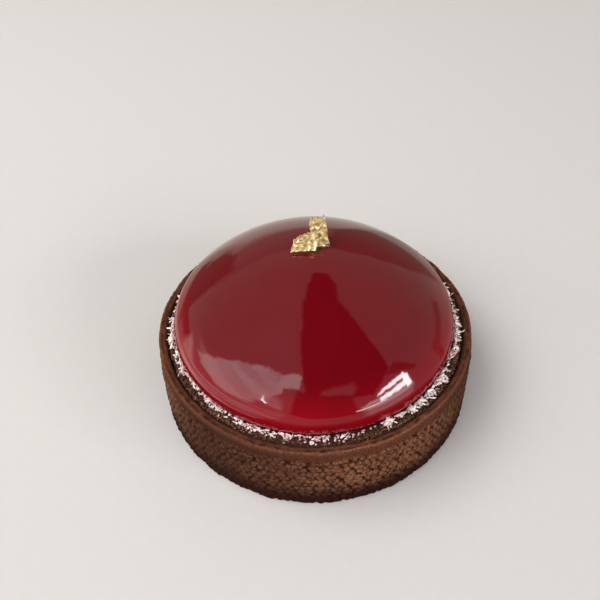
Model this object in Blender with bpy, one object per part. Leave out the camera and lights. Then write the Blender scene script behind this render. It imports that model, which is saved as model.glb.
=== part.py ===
"""Chocolate tart, built as the pastry cook builds it.

A cocoa crust baked in a straight ring is filled with dark chocolate. A glazed dome sits on the filling,
with a collar of coconut shreds in the ring left round its foot, and two crumpled flakes of gold leaf
stand near its crown.

Units are metres and +Z is up. The origin is the centre of the crust's flat underside, and the tart is
seen from -Y.
"""

import math
import random

import bmesh
import bpy
from mathutils import Vector

MM = 0.001
GAP = 0.3 * MM  # between pieces that rest on or beside each other

# Crust: a cup baked in an 80 mm ring whose mesh wall leaves rows of small beads.
CRUST_RADIUS = 40.0 * MM  # at the rim
CRUST_HEIGHT = 21.2 * MM
CRUST_FLARE = 0.7 * MM  # how much wider the wall is at the underside
CRUST_WALL = 2.0 * MM
CRUST_FLOOR = 3.0 * MM
CRUST_EDGE = 0.6 * MM  # rounding of the lower edge and of the rim's outside
RIM_LIP = 0.4 * MM  # rounding of the rim's inside
CRUST_SIDES = 192  # a multiple of 6: the beads repeat every third point, and the rim halves the count
BEAD_BASE = 0.9 * MM  # height of the lowest row of beads
BEAD_HEIGHT = 0.35 * MM
BAND_BASE = 18.0 * MM  # the wall is smooth from here to the rim
RIM_SINK = 1.1 * MM  # the rim has slumped this much at the back
# Soft unevenness round the crust, as (waves in a turn, millimetres, phase).
ROUND_LOBES = ((2, 0.10, 0.9), (4, 0.07, 2.2))
RIM_WAVES = ((0, 0.15, math.pi / 2), (5, 0.08, 0.5), (11, 0.06, 2.0))

# Filling: dark chocolate poured into the crust.
FILLING_TOP = 19.6 * MM
FILLING_SIDES = 72
FILLING_EDGE = 0.5 * MM

# Dome: a spherical crown that rolls over a rounded shoulder to a tucked-in foot.
DOME_CENTRE = Vector((-0.3, 0.4)) * MM
DOME_RADIUS = 35.7 * MM
DOME_WAIST = 23.0 * MM  # height of the widest place
DOME_RISE = 18.5 * MM  # from the widest place to the apex
DOME_SHOULDER = 5.5 * MM
DOME_SIDES = 60
CROWN_RINGS = 7
SHOULDER_RINGS = 6

# Coconut collar: (from azimuth, to azimuth, shreds) in degrees, with -90 facing the viewer.
COLLAR = (
    (-65, 25, 40),
    (25, 160, 26),
    (160, 215, 22),
    (215, 295, 16),
)
SHRED_LENGTH = (1.7 * MM, 3.0 * MM)
SHRED_WIDTH = (0.5 * MM, 0.8 * MM)
SHRED_THICKNESS = 0.36 * MM
SHRED_ROOT = 0.25 * MM  # how deep the end is sunk in the filling
SHRED_TAPER = 0.6  # width of both ends over the middle's
SHRED_CLEARANCE = 0.4 * MM  # to the dome and to the crust
SHRED_RISE = (8, 50)  # degrees above the filling
SHRED_BEND = 25  # most degrees that a shred turns at its middle
SHRED_TURN = 60  # most degrees that it points away from the ring's own direction
SHRED_ROLL = 50  # most degrees that it is turned about its own length
COLLAR_SEED = 5

# Gold leaf, seen from the front: a low cupped flake on the left and a tall one on the right.
LEAF_THICKNESS = 0.25 * MM
LEAF_LEAN = math.radians(30)  # backwards from upright
# Feet, widths, heights and the rest are in millimetres, apart from `top`, the share of the width left there,
# and `rise`, by how much of its height the right half stands higher.
LOW_FLAKE = dict(
    foot=(-2.3, 4.3), width=6.3, height=4.4, top=0.70, rise=0.13, slant=0.2,
    cup=1.1, crumple=0.45, spike=0.3, seed=3,
)
TALL_FLAKE = dict(
    foot=(2.4, 5.8), width=4.2, height=7.3, top=0.94, rise=0.0, slant=-0.7,
    cup=0.5, crumple=0.45, spike=1.2, seed=8,
)
EDGE_WAVE, EDGE_WAVE_TURNS = 0.10, 9.0  # share of the width, and radians up the sides
TOP_WAVE, TOP_WAVE_TURNS = 0.06, 4.0  # share of the height, and radians across the top
SPIKE_SHARPNESS = 3
FOOT_CURL = 0.5  # of the cup's depth
SPIKE_PLACE, SPIKE_SPREAD = 1 / 3, 0.2  # of the half width, where a flake's thin tip stands up
CRUMPLES = ((5.0, 4.0), (-3.5, 8.0), (7.5, -5.0))  # radians across and up the flake, for each wave
LEAF_COLUMNS = 7
LEAF_ROWS = 9


def clear_scene():
    for obj in list(bpy.data.objects):
        bpy.data.objects.remove(obj)


def finish(name, color, roughness, metallic=0.0):
    """A Principled material of one plain colour."""
    made = bpy.data.materials.new(name)
    made.use_nodes = True
    shader = made.node_tree.nodes["Principled BSDF"]
    shader.inputs["Base Color"].default_value = (*color, 1.0)
    shader.inputs["Roughness"].default_value = roughness
    shader.inputs["Metallic"].default_value = metallic
    return made


def add_object(name, bm, material, smooth_under=35):
    """Puts the bmesh in the scene as an object, smooth where faces meet at less than smooth_under degrees."""
    mesh = bpy.data.meshes.new(name)
    bm.to_mesh(mesh)
    bm.free()
    mesh.shade_smooth()
    mesh.set_sharp_from_angle(angle=math.radians(smooth_under))
    mesh.materials.append(material)
    obj = bpy.data.objects.new(name, mesh)
    bpy.context.scene.collection.objects.link(obj)
    return obj


def polar(radius, azimuth, z, centre=Vector((0.0, 0.0))):
    return Vector((centre.x + radius * math.cos(azimuth), centre.y + radius * math.sin(azimuth), z))


def ring(bm, sides, place, phase=0.0):
    """A ring of vertices; place(azimuth, index) gives each one's position."""
    return [bm.verts.new(place(math.tau * (i + phase) / sides, i)) for i in range(sides)]


def join(bm, low, high):
    """Quads between two rings of one count, facing outwards when high is above low."""
    sides = len(low)
    for i in range(sides):
        j = (i + 1) % sides
        bm.faces.new((low[i], low[j], high[j], high[i]))


# ---------------------------------------------------------------- crust


def wall_radius(z):
    """The wall's radius before its beads, which grows evenly towards the underside."""
    return CRUST_RADIUS + CRUST_FLARE * (1 - z / CRUST_HEIGHT)


def unevenness(azimuth, waves):
    return sum(size * math.sin(count * azimuth + phase) for count, size, phase in waves) * MM


def rim_height(azimuth):
    """The rim lies a little under CRUST_HEIGHT: wavy all round, and slumped at the back."""
    return CRUST_HEIGHT - RIM_SINK * max(0.0, math.sin(azimuth)) - unevenness(azimuth, RIM_WAVES)


def wall_point(azimuth, z, inset=0.0, bead=0.0):
    """A point of the outer wall, its height squeezed so that the rim follows rim_height."""
    radius = wall_radius(z) + unevenness(azimuth, ROUND_LOBES) - inset + bead
    return polar(radius, azimuth, z * rim_height(azimuth) / CRUST_HEIGHT)


def join_staggered(bm, low, high, low_is_shifted):
    """Triangles between two rings, one of which is turned by half a step."""
    sides = len(low)
    for i in range(sides):
        j = (i + 1) % sides
        if low_is_shifted:
            bm.faces.new((low[i], high[j], high[i]))
            bm.faces.new((low[i], low[j], high[j]))
        else:
            bm.faces.new((low[i], low[j], high[i]))
            bm.faces.new((low[j], high[j], high[i]))


def beaded_wall(bm):
    """Rings from the underside to the rim. Points lie on a triangular lattice, and every third is a bead.

    In such a lattice each bead has six neighbours that stay low, so the beads pack like a honeycomb.
    """
    step = math.tau * wall_radius(0) / CRUST_SIDES
    rise = step * math.sqrt(3) / 2
    bead_rows = int((BAND_BASE - BEAD_BASE) / rise)
    heights = [0.0] + [BEAD_BASE + rise * row for row in range(bead_rows)]
    heights += [BAND_BASE, CRUST_HEIGHT - CRUST_EDGE, CRUST_HEIGHT]
    if len(heights) % 2 == 0:
        heights.insert(-2, (BAND_BASE + CRUST_HEIGHT) / 2)
    rings = []
    for row, z in enumerate(heights):
        beaded = 1 <= row <= bead_rows
        inset = CRUST_EDGE if row in (0, len(heights) - 1) else 0.0

        def place(azimuth, i, row=row, z=z, beaded=beaded, inset=inset):
            is_bead = beaded and (i - row // 2 - row) % 3 == 0
            return wall_point(azimuth, z, inset, BEAD_HEIGHT if is_bead else 0.0)

        rings.append(ring(bm, CRUST_SIDES, place, phase=0.5 * (row % 2)))
    for row in range(len(rings) - 1):
        join_staggered(bm, rings[row], rings[row + 1], low_is_shifted=row % 2 == 1)
    return rings[0], rings[-1]


def rim_top(bm, outer):
    """The flat top of the rim, which halves the number of points, and its inner edge."""
    sides = len(outer) // 2
    inner_radius = CRUST_RADIUS - CRUST_WALL

    def edge(azimuth, i):
        return polar(inner_radius + RIM_LIP, azimuth, rim_height(azimuth))

    def lip(azimuth, i):
        return polar(inner_radius, azimuth, rim_height(azimuth) - RIM_LIP)

    inner = ring(bm, sides, edge)
    for k in range(sides):
        first, middle, last = (outer[(2 * k + n) % len(outer)] for n in range(3))
        near, far = inner[k], inner[(k + 1) % sides]
        bm.faces.new((first, middle, near))
        bm.faces.new((middle, far, near))
        bm.faces.new((middle, last, far))
    below = ring(bm, sides, lip)
    join(bm, below[::-1], inner[::-1])
    return below


def make_crust(material):
    bm = bmesh.new()
    base, rim = beaded_wall(bm)
    lip = rim_top(bm, rim)
    floor = ring(bm, len(lip), lambda azimuth, i: polar(CRUST_RADIUS - CRUST_WALL, azimuth, CRUST_FLOOR))
    join(bm, floor[::-1], lip[::-1])
    bm.faces.new(floor)
    bm.faces.new(base[::-1])
    return add_object("crust", bm, material, smooth_under=50)


# ---------------------------------------------------------------- dome


def crown_sphere():
    """Radius and centre height of the crown: the sphere that meets the shoulder's circle without a kink."""
    inner = DOME_RADIUS - DOME_SHOULDER
    radius = (inner**2 + DOME_RISE**2 - DOME_SHOULDER**2) / (2 * (DOME_RISE - DOME_SHOULDER))
    return radius, DOME_WAIST + DOME_RISE - radius


def dome_profile():
    """(radius, height) from the ring nearest the apex down to the foot's edge."""
    sphere, centre = crown_sphere()
    shoulder_start = math.atan2(DOME_RADIUS - DOME_SHOULDER, DOME_WAIST - centre)
    foot_z = FILLING_TOP + GAP
    foot_angle = math.acos((foot_z - DOME_WAIST) / DOME_SHOULDER)
    points = []
    for n in range(1, CROWN_RINGS + 1):
        angle = shoulder_start * n / CROWN_RINGS
        points.append((sphere * math.sin(angle), centre + sphere * math.cos(angle)))
    for n in range(1, SHOULDER_RINGS + 1):
        angle = shoulder_start + (foot_angle - shoulder_start) * n / SHOULDER_RINGS
        radius = DOME_RADIUS - DOME_SHOULDER + DOME_SHOULDER * math.sin(angle)
        points.append((radius, DOME_WAIST + DOME_SHOULDER * math.cos(angle)))
    return points


def dome_height(x, y):
    """Height of the crown above (x, y)."""
    sphere, centre = crown_sphere()
    reach = math.hypot(x - DOME_CENTRE.x, y - DOME_CENTRE.y)
    return centre + math.sqrt(sphere**2 - reach**2)


def dome_radius(z):
    """Radius of the tucked-in shoulder at height z, and of the waist above it."""
    fall = max(0.0, DOME_WAIST - z)
    return DOME_RADIUS - DOME_SHOULDER + math.sqrt(max(0.0, DOME_SHOULDER**2 - fall**2))


def make_dome(material):
    bm = bmesh.new()
    rings = [
        ring(bm, DOME_SIDES, lambda azimuth, i, r=r, z=z: polar(r, azimuth, z, DOME_CENTRE))
        for r, z in dome_profile()
    ]
    for high, low in zip(rings, rings[1:]):
        join(bm, low, high)
    apex = bm.verts.new((*DOME_CENTRE, DOME_WAIST + DOME_RISE))
    top = rings[0]
    for i in range(DOME_SIDES):
        bm.faces.new((top[i], top[(i + 1) % DOME_SIDES], apex))
    bm.faces.new(rings[-1][::-1])
    return add_object("dome", bm, material)


# ---------------------------------------------------------------- filling and coconut collar


def make_filling(material):
    bm = bmesh.new()
    radius = CRUST_RADIUS - CRUST_WALL - GAP
    low, high = CRUST_FLOOR + GAP, FILLING_TOP
    outline = ((radius, low), (radius, high - FILLING_EDGE), (radius - FILLING_EDGE, high))
    rings = [
        ring(bm, FILLING_SIDES, lambda azimuth, i, r=r, z=z: polar(r, azimuth, z)) for r, z in outline
    ]
    for below, above in zip(rings, rings[1:]):
        join(bm, below, above)
    bm.faces.new(rings[-1])
    bm.faces.new(rings[0][::-1])
    return add_object("filling", bm, material)


def strip_corners(points, across, up, width, thickness):
    """Four corners at each point of the strip's middle line, narrowed at both ends."""
    last = len(points) - 1
    sections = []
    for n, point in enumerate(points):
        taper = SHRED_TAPER if n in (0, last) else 1.0
        half = across * width * taper / 2
        rise = up * thickness / 2
        sections.append([point - half - rise, point + half - rise, point + half + rise, point - half + rise])
    return sections


def is_clear(corner):
    """Whether a corner keeps the gap to the dome's shoulder and to the crust's wall and rim."""
    from_dome = math.hypot(corner.x - DOME_CENTRE.x, corner.y - DOME_CENTRE.y)
    from_axis = math.hypot(corner.x, corner.y)
    azimuth = math.atan2(corner.y, corner.x)
    over_rim = corner.z > rim_height(azimuth) + SHRED_CLEARANCE
    limit = CRUST_RADIUS if over_rim else CRUST_RADIUS - CRUST_WALL - SHRED_CLEARANCE
    return from_axis < limit and from_dome > dome_radius(corner.z) + SHRED_CLEARANCE


def shred_sections(draw, azimuth):
    """One bent strip of coconut that rises from the filling, or None where it would touch a neighbour."""
    length = draw.uniform(*SHRED_LENGTH)
    width = draw.uniform(*SHRED_WIDTH)
    rise = math.radians(draw.uniform(*SHRED_RISE))
    heading = azimuth + math.radians(90 * draw.choice((-1, 1)) + draw.uniform(-SHRED_TURN, SHRED_TURN))
    bend = math.radians(draw.uniform(-SHRED_BEND, SHRED_BEND))
    roll = math.radians(draw.uniform(-SHRED_ROLL, SHRED_ROLL))
    inner = DOME_RADIUS + SHRED_CLEARANCE
    outer = CRUST_RADIUS - CRUST_WALL - SHRED_CLEARANCE
    root = polar(draw.uniform(inner, outer), azimuth, FILLING_TOP - SHRED_ROOT)
    points = [root]
    for turn in (0.0, bend):
        angle = heading + turn
        flat = Vector((math.cos(angle), math.sin(angle), 0.0))
        points.append(points[-1] + (flat * math.cos(rise) + Vector((0, 0, math.sin(rise)))) * length / 2)
    along = (points[-1] - points[0]).normalized()
    across = along.cross(Vector((0, 0, 1))).normalized()
    up = across.cross(along)
    across, up = (
        across * math.cos(roll) + up * math.sin(roll),
        up * math.cos(roll) - across * math.sin(roll),
    )
    sections = strip_corners(points, across, up, width, SHRED_THICKNESS)
    if all(is_clear(corner) for section in sections for corner in section):
        return sections
    return None


def make_shred(name, sections, collection):
    """A closed strip from its sections, each of four corners."""
    bm = bmesh.new()
    loops = [[bm.verts.new(corner) for corner in section] for section in sections]
    for loop, after in zip(loops, loops[1:]):
        join(bm, loop, after)
    bm.faces.new(loops[0][::-1])
    bm.faces.new(loops[-1])
    bmesh.ops.recalc_face_normals(bm, faces=bm.faces)
    mesh = bpy.data.meshes.new(name)
    bm.to_mesh(mesh)
    bm.free()
    collection.objects.link(bpy.data.objects.new(name, mesh))


def fuse_collar(filling):
    """Unites the filling with its coconut shreds, so that what lies on it is one piece with it."""
    draw = random.Random(COLLAR_SEED)
    collar = bpy.data.collections.new("collar")
    bpy.context.scene.collection.children.link(collar)
    for start, end, count in COLLAR:
        made = 0
        while made < count:
            sections = shred_sections(draw, math.radians(draw.uniform(start, end)))
            if sections:
                make_shred("shred", sections, collar)
                made += 1
    union = filling.modifiers.new("collar", "BOOLEAN")
    union.operation = "UNION"
    union.solver = "EXACT"
    union.operand_type = "COLLECTION"
    union.collection = collar
    bpy.context.view_layer.objects.active = filling
    bpy.ops.object.modifier_apply(modifier=union.name)
    for obj in list(collar.objects):
        bpy.data.objects.remove(obj)
    bpy.data.collections.remove(collar)


# ---------------------------------------------------------------- gold leaf


def flake_point(u, v, flake, waves):
    """A point of the crumpled sheet: u runs across it from -1 to 1, and v up it from 0 to 1.

    The outline narrows and slants towards a ragged top with one thin tip, the sides curl forwards as in
    a cupped hand, and three crossing waves crumple it.
    """
    back = Vector((0, math.sin(LEAF_LEAN), math.cos(LEAF_LEAN)))
    forwards = Vector((0, -math.cos(LEAF_LEAN), math.sin(LEAF_LEAN)))
    narrowing = 1 - (1 - flake["top"]) * v
    ragged = 1 + EDGE_WAVE * math.sin(EDGE_WAVE_TURNS * v + waves[0])
    across = u * flake["width"] / 2 * narrowing * ragged + flake["slant"] * v
    spike = flake["spike"] * math.exp(-(((u - SPIKE_PLACE) / SPIKE_SPREAD) ** 2)) * v**SPIKE_SHARPNESS
    uneven = flake["rise"] * u - TOP_WAVE * math.sin(TOP_WAVE_TURNS * u + waves[1])
    up = v * flake["height"] * (1 + uneven * v) + spike
    curl = flake["cup"] * (u * u + FOOT_CURL * (1 - v) ** 2)
    crumple = sum(math.sin(a * u + b * v + phase) for (a, b), phase in zip(CRUMPLES, waves))
    x, y = flake["foot"]
    offset = back * up + forwards * (curl + flake["crumple"] * crumple / 2)
    return Vector((x + across, y + offset.y, offset.z)) * MM


def make_flake(name, flake, material):
    """A thin wavy solid that stands on the dome, both faces split into triangles alike."""
    draw = random.Random(flake["seed"])
    waves = [draw.uniform(0, math.tau) for _ in range(3)]
    forwards = Vector((0, -math.cos(LEAF_LEAN), math.sin(LEAF_LEAN)))
    bm = bmesh.new()
    sheets = []
    for side in (-1, 1):
        sheet = []
        for row in range(LEAF_ROWS):
            line = []
            for column in range(LEAF_COLUMNS):
                u = 2 * column / (LEAF_COLUMNS - 1) - 1
                point = flake_point(u, row / (LEAF_ROWS - 1), flake, waves)
                ground = dome_height(point.x, point.y) + GAP + LEAF_THICKNESS / 2
                place = Vector((point.x, point.y, ground + max(0.0, point.z)))
                line.append(bm.verts.new(place + forwards * side * LEAF_THICKNESS / 2))
            sheet.append(line)
        sheets.append(sheet)
    rear, front = sheets
    for row in range(LEAF_ROWS - 1):
        for column in range(LEAF_COLUMNS - 1):
            for sheet, turned in ((front, False), (rear, True)):
                a, b = sheet[row][column], sheet[row][column + 1]
                c, d = sheet[row + 1][column + 1], sheet[row + 1][column]
                for corners in ((a, b, c), (a, c, d)):
                    bm.faces.new(corners[::-1] if turned else corners)

    def border(sheet):
        last = LEAF_COLUMNS - 1
        right = [line[last] for line in sheet[1:]]
        top = sheet[-1][:last][::-1]
        left = [line[0] for line in sheet[1:-1]][::-1]
        return sheet[0] + right + top + left

    join(bm, border(rear), border(front))
    bmesh.ops.recalc_face_normals(bm, faces=bm.faces)
    return add_object(name, bm, material, smooth_under=60)


def main():
    clear_scene()
    cocoa_pastry = finish("cocoa_pastry", (0.16, 0.062, 0.036), 0.75)
    dark_chocolate = finish("dark_chocolate", (0.035, 0.014, 0.010), 0.45)
    red_glaze = finish("red_glaze", (0.20, 0.006, 0.010), 0.04)
    gold = finish("gold_leaf", (0.80, 0.54, 0.20), 0.25, metallic=1.0)
    make_crust(cocoa_pastry)
    fuse_collar(make_filling(dark_chocolate))
    make_dome(red_glaze)
    make_flake("gold_leaf_low", LOW_FLAKE, gold)
    make_flake("gold_leaf_tall", TALL_FLAKE, gold)


main()
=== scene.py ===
# %% [markdown]
# # A chocolate tart under a red mirror glaze
#
# This lesson dresses a small round tart: a cocoa crust baked in a ring, dark chocolate poured into it, a
# glazed dome on top, a collar of coconut shreds round the dome's foot and two flakes of gold leaf on its
# crown. The plain solids of the tart are already there as a fixed frame. Each one is replaced by a finer
# surface that keeps its form, and every surface is worked out with numpy from a few real sizes.
#
# The frame comes first. Its solids are kept, and their boxes give some of the sizes.

import bpy
import numpy as np
from mathutils import Matrix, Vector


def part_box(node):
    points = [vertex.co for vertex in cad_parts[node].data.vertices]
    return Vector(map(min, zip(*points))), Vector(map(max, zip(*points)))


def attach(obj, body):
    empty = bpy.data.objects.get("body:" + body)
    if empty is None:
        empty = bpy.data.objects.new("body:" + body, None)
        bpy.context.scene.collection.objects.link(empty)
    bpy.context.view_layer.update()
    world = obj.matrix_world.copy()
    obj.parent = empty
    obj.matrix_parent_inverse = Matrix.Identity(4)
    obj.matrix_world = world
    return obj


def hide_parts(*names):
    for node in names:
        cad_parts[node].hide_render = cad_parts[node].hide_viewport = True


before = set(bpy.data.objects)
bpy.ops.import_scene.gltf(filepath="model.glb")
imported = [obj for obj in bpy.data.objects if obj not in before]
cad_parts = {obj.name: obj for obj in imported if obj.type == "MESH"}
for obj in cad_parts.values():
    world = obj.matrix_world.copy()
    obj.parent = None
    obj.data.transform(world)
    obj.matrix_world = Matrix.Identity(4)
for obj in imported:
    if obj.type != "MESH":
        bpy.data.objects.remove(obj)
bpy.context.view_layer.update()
MM = 0.001
print("nodes:", sorted(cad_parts))

# %% [markdown]
# ## Camera
#
# The picture was taken from arm's length, looking down at about 46 degrees and turned by a degree or two.
# Blender's camera looks along its own -Z axis, so turning it about X by 90 degrees less that tilt aims it,
# and a turn about its own Z afterwards rolls the picture. A lens is a length on a 36 mm wide sensor, which
# is why the measured 700 pixels become 42 mm in a picture of 600 pixels.

# %% Place the camera
CAMERA_PLACE = np.array([-3.6, -122.3, 155.3]) * MM
CAMERA_TILT = np.radians(46.04)
CAMERA_ROLL = np.radians(-1.84)
PICTURE_WIDTH = 600
LENS_PIXELS = 700
SENSOR = 36.0

camera_data = bpy.data.cameras.new("camera")
camera_data.sensor_width = SENSOR
camera_data.lens = LENS_PIXELS / PICTURE_WIDTH * SENSOR
camera = bpy.data.objects.new("camera", camera_data)
bpy.context.scene.collection.objects.link(camera)
camera.matrix_world = (
    Matrix.Translation(CAMERA_PLACE)
    @ Matrix.Rotation(np.pi / 2 - CAMERA_TILT, 4, "X")
    @ Matrix.Rotation(CAMERA_ROLL, 4, "Z")
)
bpy.context.scene.camera = camera
print(f"lens {camera_data.lens:.1f} mm, {np.linalg.norm(CAMERA_PLACE) / MM:.0f} mm from the tart's base")

# %% [markdown]
# ## Two tools for shapes
#
# Nearly everything on a tart is turned or rolled, so two helpers carry the lesson. The first puts arrays
# of points and faces into a mesh in one go with `foreach_set`, far quicker than a loop over vertices.
# The second closes a turned body from the radius and height at every row and every step round the axis,
# so a shape can be perfectly round or as uneven as baked pastry. Rows run from the middle of the
# underside outwards, up the side and back to the middle of the top, so that all faces point outwards. A
# profile is a list of such rows, with arcs for its rounded corners.


# %% Meshes from arrays
def add_mesh(name, points, *face_arrays):
    """A smooth-shaded object from an (n, 3) array of points and integer arrays of faces, one for each count
    of corners."""
    corners = np.concatenate([faces.ravel() for faces in face_arrays]).astype(np.int32)
    sizes = np.concatenate([np.full(len(faces), faces.shape[1]) for faces in face_arrays])
    mesh = bpy.data.meshes.new(name)
    mesh.vertices.add(len(points))
    mesh.vertices.foreach_set("co", np.asarray(points, np.float32).ravel())
    mesh.loops.add(len(corners))
    mesh.loops.foreach_set("vertex_index", corners)
    mesh.polygons.add(len(sizes))
    mesh.polygons.foreach_set("loop_start", (np.cumsum(sizes) - sizes).astype(np.int32))
    mesh.update(calc_edges=True)
    mesh.shade_smooth()
    piece = bpy.data.objects.new(name, mesh)
    bpy.context.scene.collection.objects.link(piece)
    print(f"{name}: {len(points)} points, {int((sizes - 2).sum())} triangles")
    return piece


def note(piece, name, values):
    """Stores one number for each vertex, for a material to read."""
    kept = piece.data.attributes.new(name, "FLOAT", "POINT")
    kept.data.foreach_set("value", np.asarray(values, np.float32).ravel())


# %% Turned bodies
def grid_quads(rows, columns):
    """Corners of the quads between neighbouring rows of a grid whose columns close into a ring."""
    row, column = np.meshgrid(np.arange(rows - 1), np.arange(columns), indexing="ij")
    here, right = row * columns + column, row * columns + (column + 1) % columns
    return np.stack([here, right, right + columns, here + columns], -1).reshape(-1, 4)


def turned(name, radius, height, centre=(0.0, 0.0)):
    """A closed body round an upright axis. radius and height are (rows, columns) arrays, and column c lies
    at c / columns of a full turn. Fans of triangles close the first and the last row."""
    rows, columns = radius.shape
    azimuth = np.arange(columns) / columns * 2 * np.pi
    ring_points = np.stack(
        [centre[0] + radius * np.cos(azimuth), centre[1] + radius * np.sin(azimuth), height], -1
    )
    poles = [[*centre, height[0].mean()], [*centre, height[-1].mean()]]
    points = np.concatenate([ring_points.reshape(-1, 3), poles])
    step = np.arange(columns)
    after = (step + 1) % columns
    last = (rows - 1) * columns
    under, over = np.full(columns, rows * columns), np.full(columns, rows * columns + 1)
    fans = np.concatenate(
        [np.stack([under, after, step], -1), np.stack([last + step, last + after, over], -1)]
    )
    return add_mesh(name, points, grid_quads(rows, columns), fans)


def arc(radius, height, size, angles):
    """Points of a profile on a circle about a radius and a height, at angles from straight up outwards."""
    return [(radius + size * np.sin(a), height + size * np.cos(a)) for a in angles]


def spun(profile, columns):
    """The azimuths of the columns, and a profile's radius and height as (rows, columns) arrays."""
    azimuth = np.arange(columns) / columns * 2 * np.pi
    radius, height = np.array(profile).T[..., None] + 0 * azimuth
    return azimuth, radius, height


# %% [markdown]
# Food is never exact, so every shape also needs gentle disorder that is the same on each run. A sum of
# plane waves in random directions gives it. It is smooth, it has one size of lump that can be chosen, and
# because it is worked out in space it has no seam where a turned body closes.


# %% Smooth disorder
WAVES = 24
WAVE_LENGTHS = (0.75, 1.35)  # shortest and longest wave, as shares of the wavelength


def ripples(points, wavelength, seed):
    """Disorder at each point, about -1 to 1: the sum of sine waves with random directions and phases, each
    about one wavelength long, divided by the root of twice their number."""
    draw = np.random.default_rng(seed)
    directions = draw.normal(size=(WAVES, 3))
    directions /= np.linalg.norm(directions, axis=1)[:, None]
    lengths = wavelength * draw.uniform(*WAVE_LENGTHS, WAVES)
    waves = (2 * np.pi / lengths)[:, None] * directions
    phases = draw.uniform(0, 2 * np.pi, WAVES)
    flat = np.asarray(points, float).reshape(-1, 3)
    total = np.zeros(len(flat))
    for wave, phase in zip(waves, phases):
        total += np.sin(flat @ wave + phase)
    return (total / np.sqrt(2 * WAVES)).reshape(np.shape(points)[:-1])


def layered(points, *layers):
    """The sum of ripples of several sizes, each given as its wavelength and height in mm and its seed."""
    return sum(ripples(points, length * MM, seed) * height * MM for length, height, seed in layers)


# %% Places and blends
def around(radius, azimuth, height):
    """(x, y, height) of points at a radius and an azimuth about the tart's axis."""
    return np.stack([radius * np.cos(azimuth), radius * np.sin(azimuth), height + 0 * azimuth], -1)


def smoothstep(low, high, x):
    """0 below low, 1 above high, and an S-shaped rise between them."""
    t = np.clip((x - low) / (high - low), 0, 1)
    return t * t * (3 - 2 * t)


def bell(distance, spread):
    """1 at no distance, falling to 1 / e at the spread."""
    return np.exp(-((distance / spread) ** 2))


# %% [markdown]
# ## A tool for materials
#
# Materials are node trees, but they read best as sums. The class below wraps a socket, and adding or
# multiplying two wrapped sockets adds the Math node that does it. Its reflected forms make `1 - mask` work
# too. All other nodes come from one method, which sets the node's choices first and then feeds its inputs.


# %% Sockets that can be added and multiplied
class Signal:
    """A node's output in a material that is being made. Arithmetic on it adds Math nodes."""

    def __init__(self, finish, socket):
        self.finish = finish
        self.socket = socket

    def math(self, operation, first, second=0.0):
        return self.finish.node("Math", {"operation": operation}, {0: first, 1: second})

    def __add__(self, other):
        return self.math("ADD", self, other)

    def __sub__(self, other):
        return self.math("SUBTRACT", self, other)

    def __rsub__(self, other):
        return self.math("SUBTRACT", other, self)

    def __mul__(self, other):
        return self.math("MULTIPLY", self, other)

    def __truediv__(self, other):
        return self.math("DIVIDE", self, other)

    def between(self, low, high):
        """0 below low and 1 above high, with an S-shaped rise between them."""
        settings = {"clamp": True, "interpolation_type": "SMOOTHSTEP"}
        return self.finish.node("MapRange", settings, {"Value": self, "From Min": low, "From Max": high})

    __radd__ = __add__
    __rmul__ = __mul__


# %% Materials in the making
class Finish:
    """A Principled material that is being made, or a world's background."""

    def __init__(self, name, owner=None):
        self.material = owner or bpy.data.materials.new(name)
        self.material.use_nodes = True
        self.tree = self.material.node_tree

    def node(self, kind, settings=None, inputs=None, output=0):
        """Adds a node. Its settings are set first, and then each named or numbered input gets its value or
        its link."""
        made = self.tree.nodes.new("ShaderNode" + kind)
        for key, value in (settings or {}).items():
            setattr(made, key, value)
        for key, value in (inputs or {}).items():
            self.feed(made.inputs[key], value)
        return Signal(self, made.outputs[output])

    def feed(self, socket, value):
        """Links a signal to an input, or sets its number or colour."""
        if isinstance(value, Signal):
            self.tree.links.new(value.socket, socket)
        elif isinstance(value, tuple) and len(value) == 3 and len(socket.default_value) == 4:
            socket.default_value = (*value, 1)
        else:
            socket.default_value = value

    def surface(self, **inputs):
        """Feeds the Principled shader. Its sockets are named in lower case with _ for a space."""
        shader = self.tree.nodes["Principled BSDF"]
        for key, value in inputs.items():
            self.feed(shader.inputs[key.replace("_", " ").title().replace("Ior", "IOR")], value)
        return self.material

    def place(self):
        """Object coordinates, in metres."""
        return self.node("TexCoord", output=3)

    def height(self):
        """How many millimetres above its base a point of the tart lies."""
        return self.node("SeparateXYZ", {}, {0: self.place()}, output=2) * (1 / MM)

    def noise(self, size, detail=3.0, roughness=0.5):
        """Cloudy noise from 0 to 1 whose lumps are about `size` metres across."""
        inputs = {"Vector": self.place(), "Scale": 1 / size, "Detail": detail, "Roughness": roughness}
        return self.node("TexNoise", {}, inputs)

    def mixed(self, factor, first, second):
        """The first colour where the factor is 0 and the second where it is 1."""
        return self.node("Mix", {"data_type": "RGBA"}, {0: factor, 6: first, 7: second}, output=2)

    def kept(self, name):
        """The number that `note` stored on the mesh under this name."""
        return self.node("Attribute", {"attribute_name": name}, output=2)

    def bump(self, height, depth, strength):
        """A normal tilted by a height signal whose full range is `depth` metres."""
        return self.node("Bump", {}, {"Height": height, "Distance": depth, "Strength": strength})


def wear(piece, material, *nodes, slot):
    """Dresses a finished piece: its material, its body and the solids it stands for. Its slot is not used.
    """
    piece.data.materials.append(material)
    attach(piece, "root")
    if nodes:
        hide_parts(*nodes)


# %% [markdown]
# ## The crust
#
# The shell is cocoa shortcrust, baked in a ring whose side is a fine mesh. The dough swelled into the
# mesh and kept a honeycomb of small beads, each a little different, up to a smooth band below the rim.
# They are one skin of dough, so they are relief on a turned surface rather than balls: each point of the
# wall looks for the highest of the beads near it.
#
# The solid's box is read for its width and height, which are printed beside the sizes given here.

# %% Sizes of the crust
crust_low, crust_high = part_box("crust")
filling_low, filling_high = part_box("filling")
dome_low, dome_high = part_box("dome")

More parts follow.
